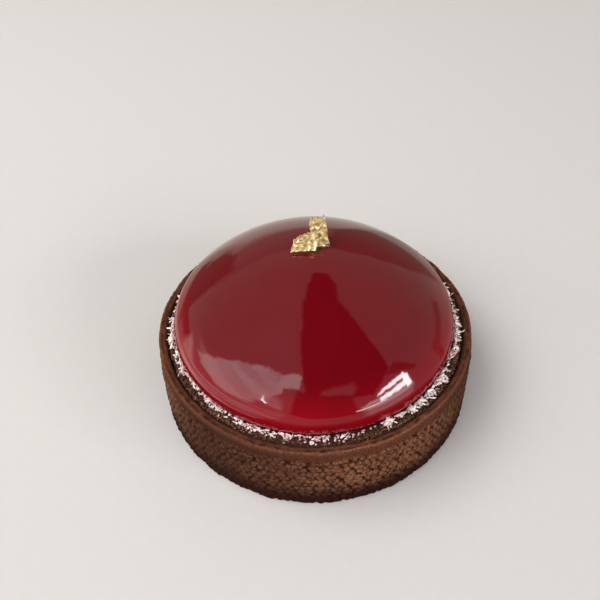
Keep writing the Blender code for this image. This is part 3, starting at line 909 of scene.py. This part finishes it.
# %% [markdown]
# ## Crumbs
#
# Dark crumbs of the pastry lie on the filling, thicker along the front and both sides than behind. A
# crumb is a rough lump with twenty faces: the twelve corners of an icosahedron, each moved in or out at
# random and squeezed along three axes.


# %% Lumps as arrays
LUMP_CORNERS = 12
LUMP_EDGE = (0.1, 1.2)  # corners that are this far apart share an edge
LUMP_RADII, LUMP_SQUEEZE = (0.65, 1.1), (0.55, 1.0)


def lumps(centres, sizes, seed):
    """Rough lumps at the given centres: the icosahedron's corners are all changes of sign and all cyclic
    orders of (0, 1, golden ratio), scaled to unit length. Any three that touch make a face."""
    golden = (1 + 5**0.5) / 2
    signs = np.array([(a, b) for a in (-1, 1) for b in (-1, 1)])
    first = np.stack([0 * signs[:, 0], signs[:, 0], golden * signs[:, 1]], -1)
    corners = np.concatenate([np.roll(first, n, 1) for n in range(3)])
    corners /= np.linalg.norm(corners[0])
    edge = np.linalg.norm(corners[:, None] - corners, axis=-1)
    touching = (edge > LUMP_EDGE[0]) & (edge < LUMP_EDGE[1])
    i, j, k = np.nonzero(touching[:, :, None] & touching[:, None] & touching)
    faces = np.stack([i, j, k], -1)[(i < j) & (j < k)]
    a, b, c = np.moveaxis(corners[faces], 1, 0)
    inward = (np.cross(b - a, c - a) * (a + b + c)).sum(1) < 0
    faces[inward] = faces[inward][:, ::-1]
    draw = np.random.default_rng(seed)
    count = len(centres)
    rough = corners * draw.uniform(*LUMP_RADII, (count, LUMP_CORNERS, 1))
    rough = rough * draw.uniform(*LUMP_SQUEEZE, (count, 1, 3))
    turn = draw.uniform(0, 2 * np.pi, count)
    c, s = np.cos(turn)[:, None], np.sin(turn)[:, None]
    x, y, z = np.moveaxis(rough, -1, 0)
    rough = np.stack([x * c - y * s, x * s + y * c, z], -1)
    points = centres[:, None] + rough * sizes[:, None, None]
    all_faces = faces[None] + LUMP_CORNERS * np.arange(count)[:, None, None]
    return points.reshape(-1, 3), all_faces.reshape(-1, 3)


# %% Model the crumbs
# Stretches of azimuth, from and to in degrees, and how many crumbs lie in each.
CRUMB_STRETCHES = ((-180, 180, 900), (-170, -105, 600), (150, 215, 420), (-78, -20, 350), (-30, 30, 500))
# The typical crumb's radius, the spread of its logarithm and the limits, and the distances, all in mm.
CRUMB_RADIUS, RADIUS_SPREAD, RADIUS_LIMITS = 0.25, 0.4, (0.11, 0.55)
NEAREST_CRUMB, FARTHEST_CRUMB = 35.2, 37.9
HEAPED_FROM, HEAPED_FULLY, CRUMB_HEAP, HEAP_BETA = 36.2, 37.6, 1.4, (1.0, 2.0)
CRUMB_LIFT = 0.6  # a crumb's centre above what it lies on, as a share of its radius
draw = np.random.default_rng(51)
azimuth = np.radians(np.concatenate([draw.uniform(a, b, n) for a, b, n in CRUMB_STRETCHES]))
count = len(azimuth)
size = np.clip(draw.lognormal(np.log(CRUMB_RADIUS), RADIUS_SPREAD, count), *RADIUS_LIMITS) * MM
reach = draw.triangular(NEAREST_CRUMB, FARTHEST_CRUMB, FARTHEST_CRUMB, count) * MM - size
against_wall = smoothstep(HEAPED_FROM * MM, HEAPED_FULLY * MM, reach)
heap = CRUMB_HEAP * MM * against_wall * draw.beta(*HEAP_BETA, count)
points, faces = lumps(around(reach, azimuth, FILLING_TOP + CRUMB_LIFT * size + heap), size, seed=52)
crumbs = add_mesh("pastry_crumbs", points, faces)


# %% Crumbs of pastry
CRUMB_BROWNS = (0.040, 0.016, 0.009), (0.225, 0.094, 0.053)


def make_crumb():
    """Crumbs darker and paler in patches, because each broke from another part of the crust."""
    finish = Finish("pastry_crumb")
    patch = finish.noise(0.8 * MM, detail=2)
    colour = finish.mixed(patch.between(0.3, 0.7), *CRUMB_BROWNS)
    return finish.surface(base_color=colour, roughness=patch * 0.3 + 0.5)


wear(crumbs, make_crumb(), slot="cocoa_pastry")

# %% [markdown]
# ## Gold leaf
#
# Two flakes of edible leaf stand near the crown. The low one is rolled into a shallow cup with ridges
# that spiral inside it and a pleated skirt below, and the tall one stands behind it, creased aslant.
# Leaf is far thinner than paper and creases sharply wherever it folds, so a sheet is a grid whose points
# are pushed forwards and backwards by folded waves: the absolute value of a sine has a sharp valley at
# each zero, which is just what a crease looks like. Both faces are built and joined round the edge. How
# deep a point lies in a crease is kept too, for painted shade in the creases.

# %% Sizes of the flakes
LEAF_LEAN = np.radians(30)
LEAF_THICKNESS, LEAF_LIFT = 0.05 * MM, 0.05 * MM
# A flake's outline in mm: how far up, as a share of its height, and how far its left and right sides lie
# from its foot; then its top's height, from left to right.
LOW_FOOT = (-2.3, 4.3)
LOW_SIDES = ((0.0, 0.35, 0.6, 0.85, 1.0), (-3.3, -2.9, -2.6, -2.4, -2.2), (2.6, 3.2, 3.5, 3.0, 2.5))
LOW_TOP = ((-1.0, -0.65, -0.22, 0.3, 0.72, 0.88, 0.95, 1.0), (3.1, 3.6, 4.0, 4.4, 4.8, 4.7, 4.0, 3.2))
TALL_FOOT, TALL_HEIGHT = (2.4, 5.8), 7.6
TALL_SIDES = (
    (0.0, 0.15, 0.3, 0.5, 0.76, 1.0),
    (-1.6, -1.7, -2.1, -2.8, -3.3, -3.0),
    (1.7, 1.5, 1.3, 1.15, 1.0, 0.8),
)
SPIKE_PLACE, SPIKE_SPREAD, SPIKE_HEIGHT = 0.45, 0.12, 1.6
# The low flake's cup in mm, and how far it and its folds stand forwards or back.
CUP_CENTRE, CUP_AXES, CUP_TILT = (0.0, 3.1), (2.4, 1.2), np.radians(24)
CUP_DEPTH, LIP_RISE, LIP_SPREAD, RIDGE_RISE, PLEAT_RISE = 0.85, 0.45, 0.16, 0.11, 0.32
LOW_FORWARDS, SKIRT_REACH = 0.6, 0.9
# In the cup's half axes: its edge, where the pleats and the skirt set in, and how often folds come.
CUP_EDGE, PLEATS_FROM, SKIRT_FROM = 1.05, (1.1, 1.5), (1.0, 2.2)
RIDGE_COUNT, PLEAT_COUNT, PLEAT_TWIST = 2.2, 1.9, 0.5
# The direction, pitch in mm, phase and depth in mm of the tall flake's two families of folds.
SLANTING, CROSSING = (0.77, 0.64, 1.9, 0.1, 0.26), (0.8, -0.6, 1.5, 0.3, 0.14)
TALL_CURL, FOOT_CURL = 0.5, 0.7
# Finer creases of either flake: pitch and depth in mm and seed. Of their waves, each is finer and weaker.
LOW_CREASES, TALL_CREASES = (1.8, 0.08, 61), (1.6, 0.20, 62)
FINER, WEAKER = (1.0, 1.5, 2.3, 3.4), 1.6


# %% Folds and creases
def across_sides(u, v, sides):
    """How far across a point lies, with u from -1 at the left side to 1 at the right."""
    left, right = (np.interp(v, sides[0], side) for side in sides[1:])
    return np.where(u < 0, -u * left, u * right)


def folded(phase):
    """A wave with sharp valleys, from -1 to 1: one less twice the size of a sine."""
    return 1 - 2 * np.abs(np.sin(np.pi * phase))


def folds(across, up, pitch, seed):
    """Creases in random directions: the mean of four folded waves, each finer and much weaker."""
    draw = np.random.default_rng(seed)
    total = 0 * across
    weight = 0.0
    for finer in FINER:
        angle, phase = draw.uniform(0, np.pi), draw.uniform(0, 1)
        wave = folded((across * np.cos(angle) + up * np.sin(angle)) * finer / pitch + phase)
        total += wave / finer**WEAKER
        weight += 0.5 / finer**WEAKER
    return total / weight


# %% The two sheets
def low_sheet(u, v):
    """(across, up, forwards) of the low flake in mm and how deep in a crease each point is, for u from -1
    to 1 and v from 0 to 1.

    The sheet's top rises to the right. Each point has a distance e and an angle from the cup's centre, in
    the cup's own half axes. The cup is a bowl for e below 1, a raised lip stands at 1, ridges spiral inside
    it and pleats fan out below.
    """
    across = across_sides(u, v, LOW_SIDES) + 0.08 * np.sin(11 * v + 1)
    up = v * np.interp(u, *LOW_TOP) * (1 + 0.03 * np.sin(17 * u) * v)
    dx, dy = across - CUP_CENTRE[0], up - CUP_CENTRE[1]
    along = (dx * np.cos(CUP_TILT) + dy * np.sin(CUP_TILT)) / CUP_AXES[0]
    aside = (dy * np.cos(CUP_TILT) - dx * np.sin(CUP_TILT)) / CUP_AXES[1]
    e, angle = np.hypot(along, aside), np.arctan2(aside, along)
    in_cup, outside = e < CUP_EDGE, smoothstep(*PLEATS_FROM, e)
    ring = folded(RIDGE_COUNT * e + angle / (2 * np.pi))
    pleat = folded(PLEAT_COUNT * angle + PLEAT_TWIST * e)
    bowl = -CUP_DEPTH * np.maximum(0, 1 - e * e)
    lip = LIP_RISE * bell(e - 1, LIP_SPREAD)
    skirt = SKIRT_REACH * smoothstep(*SKIRT_FROM, e) * (1 - v)
    forwards = LOW_FORWARDS + bowl + RIDGE_RISE * ring * in_cup + lip + PLEAT_RISE * pleat * outside + skirt
    pitch, depth, seed = LOW_CREASES
    crease = smoothstep(0.2, -0.9, ring) * in_cup + smoothstep(0.0, -0.9, pleat) * outside
    return across, up, forwards + depth * folds(across, up, pitch, seed), crease


def tall_sheet(u, v):
    """The same for the tall flake: a sheet that slants to the left as it rises, pinched half way up, with a
    ragged flat top and one thin tip. Its main creases run down to the right."""
    across = across_sides(u, v, TALL_SIDES) * (1 + 0.03 * np.sin(13 * v))
    ragged = 1 - (0.02 * np.sin(5 * u + 1) + 0.02 * np.sin(19 * u)) * v
    up = v * TALL_HEIGHT * ragged + SPIKE_HEIGHT * bell(u - SPIKE_PLACE, SPIKE_SPREAD) * v**6
    forwards = TALL_CURL * u * u + FOOT_CURL * (1 - v) ** 2
    waves = []
    for step_across, step_up, pitch, phase, depth in (SLANTING, CROSSING):
        waves.append(folded((across * step_across + up * step_up) / pitch + phase))
        forwards = forwards + depth * waves[-1]
    pitch, depth, seed = TALL_CREASES
    small = folds(across, up, pitch, seed)
    crease = 0.5 * smoothstep(-0.5, -1.0, waves[0]) + 0.8 * smoothstep(-0.5, -0.9, small)
    return across, up, forwards + depth * small, crease


# %% From a sheet to a foil
def on_dome(foot, across, up, forwards):
    """Places of a sheet that stands at a foot on the dome and leans back, and the direction it faces."""
    back = np.array([0, np.sin(LEAF_LEAN), np.cos(LEAF_LEAN)])
    facing = np.array([0, -np.cos(LEAF_LEAN), np.sin(LEAF_LEAN)])
    offset = up[..., None] * back + forwards[..., None] * facing
    place = np.stack([foot[0] + across, foot[1] + offset[..., 1], offset[..., 2]], -1) * MM
    ground = dome_top(place[..., 0], place[..., 1]) + LEAF_LIFT
    place[..., 2] = ground + np.maximum(place[..., 2], 0)
    return place, facing


def make_foil(name, sheet_of, foot, rows, columns):
    """Both faces of a flake and the thin wall round its edge."""
    v, u = np.meshgrid(np.linspace(0, 1, rows), np.linspace(-1, 1, columns), indexing="ij")
    *sheet, crease = sheet_of(u, v)
    sheet, facing = on_dome(foot, *sheet)
    half = facing * LEAF_THICKNESS / 2
    points = np.concatenate([(sheet + half).reshape(-1, 3), (sheet - half).reshape(-1, 3)])
    grid = np.arange(rows * columns).reshape(rows, columns)
    front = np.stack([grid[:-1, :-1], grid[:-1, 1:], grid[1:, 1:], grid[1:, :-1]], -1).reshape(-1, 4)
    back = front[:, ::-1] + grid.size
    border = np.concatenate([grid[0], grid[1:, -1], grid[-1, -2::-1], grid[-2:0:-1, 0]])
    after = np.roll(border, -1)
    wall = np.stack([after, border, border + grid.size, after + grid.size], -1)
    foil = add_mesh(name, points, np.concatenate([front, back, wall]))
    note(foil, "crease", np.tile(np.clip(crease, 0, 1).ravel(), 2))
    return foil


# %% Model the flakes
low_foil = make_foil("gold_leaf_low_foil", low_sheet, LOW_FOOT, rows=110, columns=120)
tall_foil = make_foil("gold_leaf_tall_foil", tall_sheet, TALL_FOOT, rows=130, columns=80)


# %% Gold leaf
# the last colour is painted shade in the creases
GOLDS, GOLD_CREASE_SHADE = ((0.92, 0.75, 0.44), (0.98, 0.90, 0.66)), (0.43, 0.29, 0.09)


def make_gold():
    """Gold in two tones, with painted shade in its creases."""
    finish = Finish("gold_leaf")
    tarnish = finish.noise(0.9 * MM, detail=3)
    colour = finish.mixed(tarnish.between(0.35, 0.7), *GOLDS)
    return finish.surface(
        base_color=finish.mixed(finish.kept("crease") * 0.7, colour, GOLD_CREASE_SHADE),
        metallic=0.85,
        roughness=tarnish * 0.2 + 0.25,
        normal=finish.bump(tarnish, 0.08 * MM, 0.3),
    )


gold = make_gold()
wear(low_foil, gold, "gold_leaf_low", slot="gold_leaf")
wear(tall_foil, gold, "gold_leaf_tall", slot="gold_leaf")

# %% [markdown]
# ## Floor and light
#
# The tart stands on a plain pale floor that curves up into a wall far away, so a view from any side has
# a plain background. Only the camera sees it. It isn't mirrored, bounces no light and casts no shadow,
# so the room lights the tart through it.
#
# A mirror needs something to mirror, so the light is planned from the dome: each bright or dark shape on
# the glaze fixes a direction that it reflects. The room above is a soft grey, brighter over both sides
# and dark in a wedge above the front. That is the world, which lies in every direction and can have any
# outline. Two soft panels only add light from above and aren't mirrored.

# %% Floor
FLOOR_RADIUS, COVE, ROOM_HEIGHT = 1.6, 0.8, 2.4
FLOOR_COLUMNS, COVE_ROWS, FLOOR_RINGS = 128, 24, (0.1, 0.5, 0.9)
FLOOR_GREYS = (0.520, 0.498, 0.480), (0.544, 0.522, 0.504)
profile = [(FLOOR_RADIUS * part, 0.0) for part in FLOOR_RINGS]
profile += arc(FLOOR_RADIUS, COVE, COVE, np.linspace(np.pi, np.pi / 2, COVE_ROWS))
profile += [(FLOOR_RADIUS + COVE, ROOM_HEIGHT), (FLOOR_RADIUS, ROOM_HEIGHT)]
floor = turned("floor", *spun(profile, FLOOR_COLUMNS)[1:])
floor.visible_glossy = False
floor.visible_diffuse = False
floor.visible_shadow = False
floor_finish = Finish("floor")
grain = floor_finish.noise(2.5 * MM, detail=3)
floor_colour = floor_finish.mixed(grain, *FLOOR_GREYS)
floor.data.materials.append(
    floor_finish.surface(base_color=floor_colour, roughness=0.8, specular_ior_level=0.2)
)


# %% [markdown]
# The room is painted on the world from flat charts. Seen from the tart, the ceiling is a plane on which
# a direction lies at x / z and y / z. Lower down that plane runs off to infinity, so there a direction
# is given by its turn from the front, or from the back, and its rise above the floor, in degrees. The
# window's wall is one more plane, upright, with a set of panes and bars. On every chart a shape is
# convex, so its corners are all that has to be known.


# %% Shapes of light
def inside(chart, corners, soft):
    """1 inside the convex shape whose corners are given counter-clockwise and 0 outside, with sides that
    blur over twice `soft`. A chart is a vector (u, v, 1), so its dot product with three numbers is the
    distance to the left of a side. The mask is the smallest of these distances, cut to 0 to 1."""
    mask = 1.0
    for (u0, v0), (u1, v1) in zip(corners, corners[1:] + corners[:1]):
        du, dv = u1 - u0, v1 - v0
        scale = 0.5 / soft / np.hypot(du, dv)
        side = (-dv * scale, du * scale, (dv * u0 - du * v0) * scale + 0.5)
        sides = {0: chart, 1: side}
        left_of_side = chart.finish.node("VectorMath", {"operation": "DOT_PRODUCT"}, sides, output=1)
        smallest = {"operation": "MINIMUM", "use_clamp": True}
        mask = chart.finish.node("Math", smallest, {0: left_of_side, 1: mask})
    return mask


def painted(glow, mask, level):
    """Brings the glow to a level where the mask is 1."""
    return glow + mask * (level - glow)


# The room's shapes, each painted over those before it: its chart, its brightness, how much streaks add to
# that, how far its sides blur and its corners. Blur and corners are in the chart's own units.
ROOM_SHAPES = {
    "glow behind": ("back", 0.8, 0, 2.0, ((-24, -75), (20, -75), (13, 2), (-20, 0))),
    "dark back": ("back", 0.36, 0, 1.2, ((-46, 5), (10, 4), (10, 29), (-8, 29), (-30, 26.5), (-46, 18))),
    "darker back": ("back", 0.2, 0, 1.2,
        ((8, 4), (16, -10), (40, -16), (40, 8), (33, 20), (20, 29), (8, 29))),
    "dark back left": ("back", 0.14, 0, 1.5,
        ((-56, -6), (-34, -12), (-24, -6), (-27, 8), (-36, 19), (-47, 10))),
    "bright limb behind": ("back", 0.9, 0, 1.5,
        ((-125, -60), (-24, -60), (-28, -17), (-58, -9), (-95, 15), (-125, 16))),
    "edge of that limb": ("back", 0.12, 0, 0.8, ((-95, 16), (-28, -16.5), (-26, -12), (-93, 20))),
    "edge at the right": ("back", 0.22, 0, 1.0, ((54, 0), (84, 9), (83, 13), (54, 5))),
    "streak at the right": ("back", 0.16, 0, 1.2, ((77, -18), (83, -18), (83, 8), (77, 8))),
    "low light at the left": ("front", 0.6, 1.3, 2.0,
        ((-112, -32), (-44, -32), (-26, -6), (-22, 18), (-27, 37), (-40, 38), (-112, 14))),
    "band at the left": ("front", 2.3, 0.8, 0.8,
        ((-100, 14), (-66, 17), (-46, 30), (-30, 37), (-28, 46), (-30, 52.5), (-54, 50), (-74, 39.5))),
    "dark front": ("front", 0.05, 0, 1.5,
        ((-22, 13), (28, 13), (30, 30), (28, 44), (-32, 46), (-30, 39), (-24, 33), (-21, 20))),
    "wide part of the wedge": ("ceiling", 0.03, 0, 0.02,
        ((-0.17, -1.15), (1.12, -1.15), (1.24, -0.53), (0.62, -0.115), (-0.15, -0.115))),
    "middle part of the wedge": ("ceiling", 0.03, 0, 0.02,
        ((-0.16, -0.9), (0.63, -0.9), (0.63, -0.12), (0.28, 0.27), (-0.10, 0.27))),
    "tall part of the wedge": ("ceiling", 0.04, 0, 0.02,
        ((-0.14, -0.4), (0.28, -0.4), (0.27, 0.5), (0.18, 0.74), (0.03, 0.74), (-0.06, 0.42))),
    "smear in the wedge": ("ceiling", 0.48, 0, 0.04,
        ((0.06, -1.06), (0.62, -1.08), (0.66, -0.93), (0.56, -0.84), (0.10, -0.96))),
    "bar at the right": ("ceiling", 0.10, 0, 0.02,
        ((1.18, -0.70), (2.45, -0.50), (2.45, -0.36), (1.34, -0.42))),
    "tip of the left band": ("front", 3.2, 0, 0.8, ((-34, 44), (-15, 47), (-14, 54), (-22, 55), (-34, 52))),
    "lamp at the left": ("front", 20.0, 0, 0.5,
        ((-42.4, 33.3), (-38.3, 31.4), (-37.0, 33.0), (-41.0, 35.0))),
    "wall below the window": ("wall", 1.7, 0, 0.05,
        ((-0.02, -0.25), (0.66, -0.25), (0.74, 0.48), (-0.02, 0.50))),
    "window sill": ("wall", 4.2, 0, 0.06, ((0.02, 0.22), (0.70, 0.26), (0.76, 0.49), (0.02, 0.52))),
    "tail of the sill": ("wall", 13.0, 0, 0.02, ((-0.10, 0.36), (0.30, 0.44), (0.30, 0.50), (-0.10, 0.46))),
    "sliver of the window": ("wall", 4.5, 0, 0.012,
        ((-0.02, 0.53), (0.26, 0.525), (0.26, 0.56), (-0.02, 0.565))),
    "lower pane": ("wall", 23.0, 0, 0.012, ((0.22, 0.50), (0.72, 0.475), (0.78, 0.555), (0.24, 0.54))),
    "upper pane": ("wall", 22.0, 0, 0.012, ((0.22, 0.59), (0.76, 0.59), (0.75, 0.668), (0.30, 0.635))),
    "window frame": ("wall", 24.0, 0, 0.012, ((0.66, 0.43), (0.75, 0.43), (0.79, 0.60), (0.70, 0.65))),
}


# %% The room as a world
OUTLINE_WOBBLE, OUTLINE_SCALE, MOTTLE_SCALE, STREAK_SCALES = 0.05, 14.0, 4.0, (0.012, 0.11)
WINDOW_TURN = np.radians(34)  # where the window's wall stands, from the front to the right
LEAST_RISE, LEAST_DEPTH, WALL_FADE = 0.02, 0.05, (0.1, 0.2)
WALL_GREY, SIDE_FALL, UNDERFOOT = 0.52, 0.07, 0.03
FRONT_TINT, BACK_TINT = (1.0, 0.975, 1.0), (1.0, 0.945, 0.85)
IN_DEGREES = 180 / np.pi


def make_room():
    """The world: a mottled grey with all shapes painted on it, and a slight tint from front to back."""
    world = bpy.data.worlds.new("room")
    bpy.context.scene.world = world
    room = Finish("room", world)
    ray = room.node("TexCoord", output=0)
    # A little noise added to the direction gives every outline in the room a hand-cut edge.
    wobble = room.node("TexNoise", {}, {"Vector": ray, "Scale": OUTLINE_SCALE, "Detail": 3.0}, output=1)
    wobble = room.node("VectorMath", {"operation": "SUBTRACT"}, {0: wobble, 1: (0.5, 0.5, 0.5)})
    wobble = room.node("VectorMath", {"operation": "SCALE"}, {0: wobble, 3: OUTLINE_WOBBLE})
    seen = room.node("VectorMath", {"operation": "ADD"}, {0: ray, 1: wobble})
    x, y, z = (room.node("SeparateXYZ", {}, {0: seen}, output=axis) for axis in range(3))
    height = x.math("MAXIMUM", z, LEAST_RISE)
    rise = x.math("ARCSINE", z) * IN_DEGREES
    turn = x.math("ARCTAN2", x, 0 - y) * IN_DEGREES
    towards = x * np.sin(WINDOW_TURN) - y * np.cos(WINDOW_TURN)
    depth = x.math("MAXIMUM", towards, LEAST_DEPTH)
    beside = x * np.cos(WINDOW_TURN) + y * np.sin(WINDOW_TURN)
    charts = {
        "ceiling": (x / height, y / height),
        "front": (turn, rise),
        "back": (x.math("ARCTAN2", x, y) * IN_DEGREES, rise),
        "wall": (beside / depth, z / depth),
    }
    for chart, (across, up) in charts.items():
        charts[chart] = room.node("CombineXYZ", {}, {0: across, 1: up, 2: 1.0})

    mottled = room.node("TexNoise", {}, {"Vector": ray, "Scale": MOTTLE_SCALE, "Detail": 2.0})
    glow = (WALL_GREY - x.between(-0.4, 0.6) * SIDE_FALL) * (mottled * 0.3 + 0.85)
    glow = painted(glow, (1 - rise.between(-32, -12)) * y.between(0.2, -0.2), UNDERFOOT)
    drawn_out = room.node("CombineXYZ", {}, {0: turn * STREAK_SCALES[0], 1: rise * STREAK_SCALES[1]})
    streaks = room.node("TexNoise", {}, {"Vector": drawn_out, "Scale": 1.0, "Detail": 2.0})
    streaks = streaks.between(0.38, 0.62)
    for chart, level, streaky, soft, corners in ROOM_SHAPES.values():
        mask = inside(charts[chart], corners, soft)
        if chart == "wall":
            mask = mask * towards.between(*WALL_FADE)
        glow = painted(glow, mask, streaks * streaky + level if streaky else level)

    background = room.tree.nodes["Background"]
    room.feed(background.inputs["Color"], room.mixed(y.between(-0.3, 0.3), FRONT_TINT, BACK_TINT))
    room.feed(background.inputs["Strength"], glow)


make_room()
print(f"{len(ROOM_SHAPES)} shapes in the room:", ", ".join(ROOM_SHAPES))


# %% Soft panels
def panel(name, azimuth, elevation, distance, width, height, power):
    """A soft rectangular light, not mirrored, that faces the tart from a direction given in degrees."""
    a, e = np.radians(azimuth), np.radians(elevation)
    place = distance * np.array([np.cos(a) * np.cos(e), np.sin(a) * np.cos(e), np.sin(e)])
    lamp = bpy.data.lights.new(name, "AREA")
    lamp.shape = "RECTANGLE"
    lamp.size, lamp.size_y = width, height
    lamp.energy = power
    made = bpy.data.objects.new(name, lamp)
    bpy.context.scene.collection.objects.link(made)
    aim = Matrix.Translation(place) @ Matrix.Rotation(a + np.pi / 2, 4, "Z")
    made.matrix_world = aim @ Matrix.Rotation(np.pi / 2 - e, 4, "X")
    made.visible_glossy = False


panel("overhead", azimuth=-80, elevation=50, distance=2.0, width=2.2, height=1.6, power=11.0)
panel("near_left", azimuth=186, elevation=58, distance=0.8, width=0.7, height=0.5, power=5.0)

# %% [markdown]
# ## Colour as it is seen
#
# The plain view transform shows a colour as it is, without a film curve that would grey the deep red.

# %% View transform
bpy.context.scene.view_settings.view_transform = "Standard"
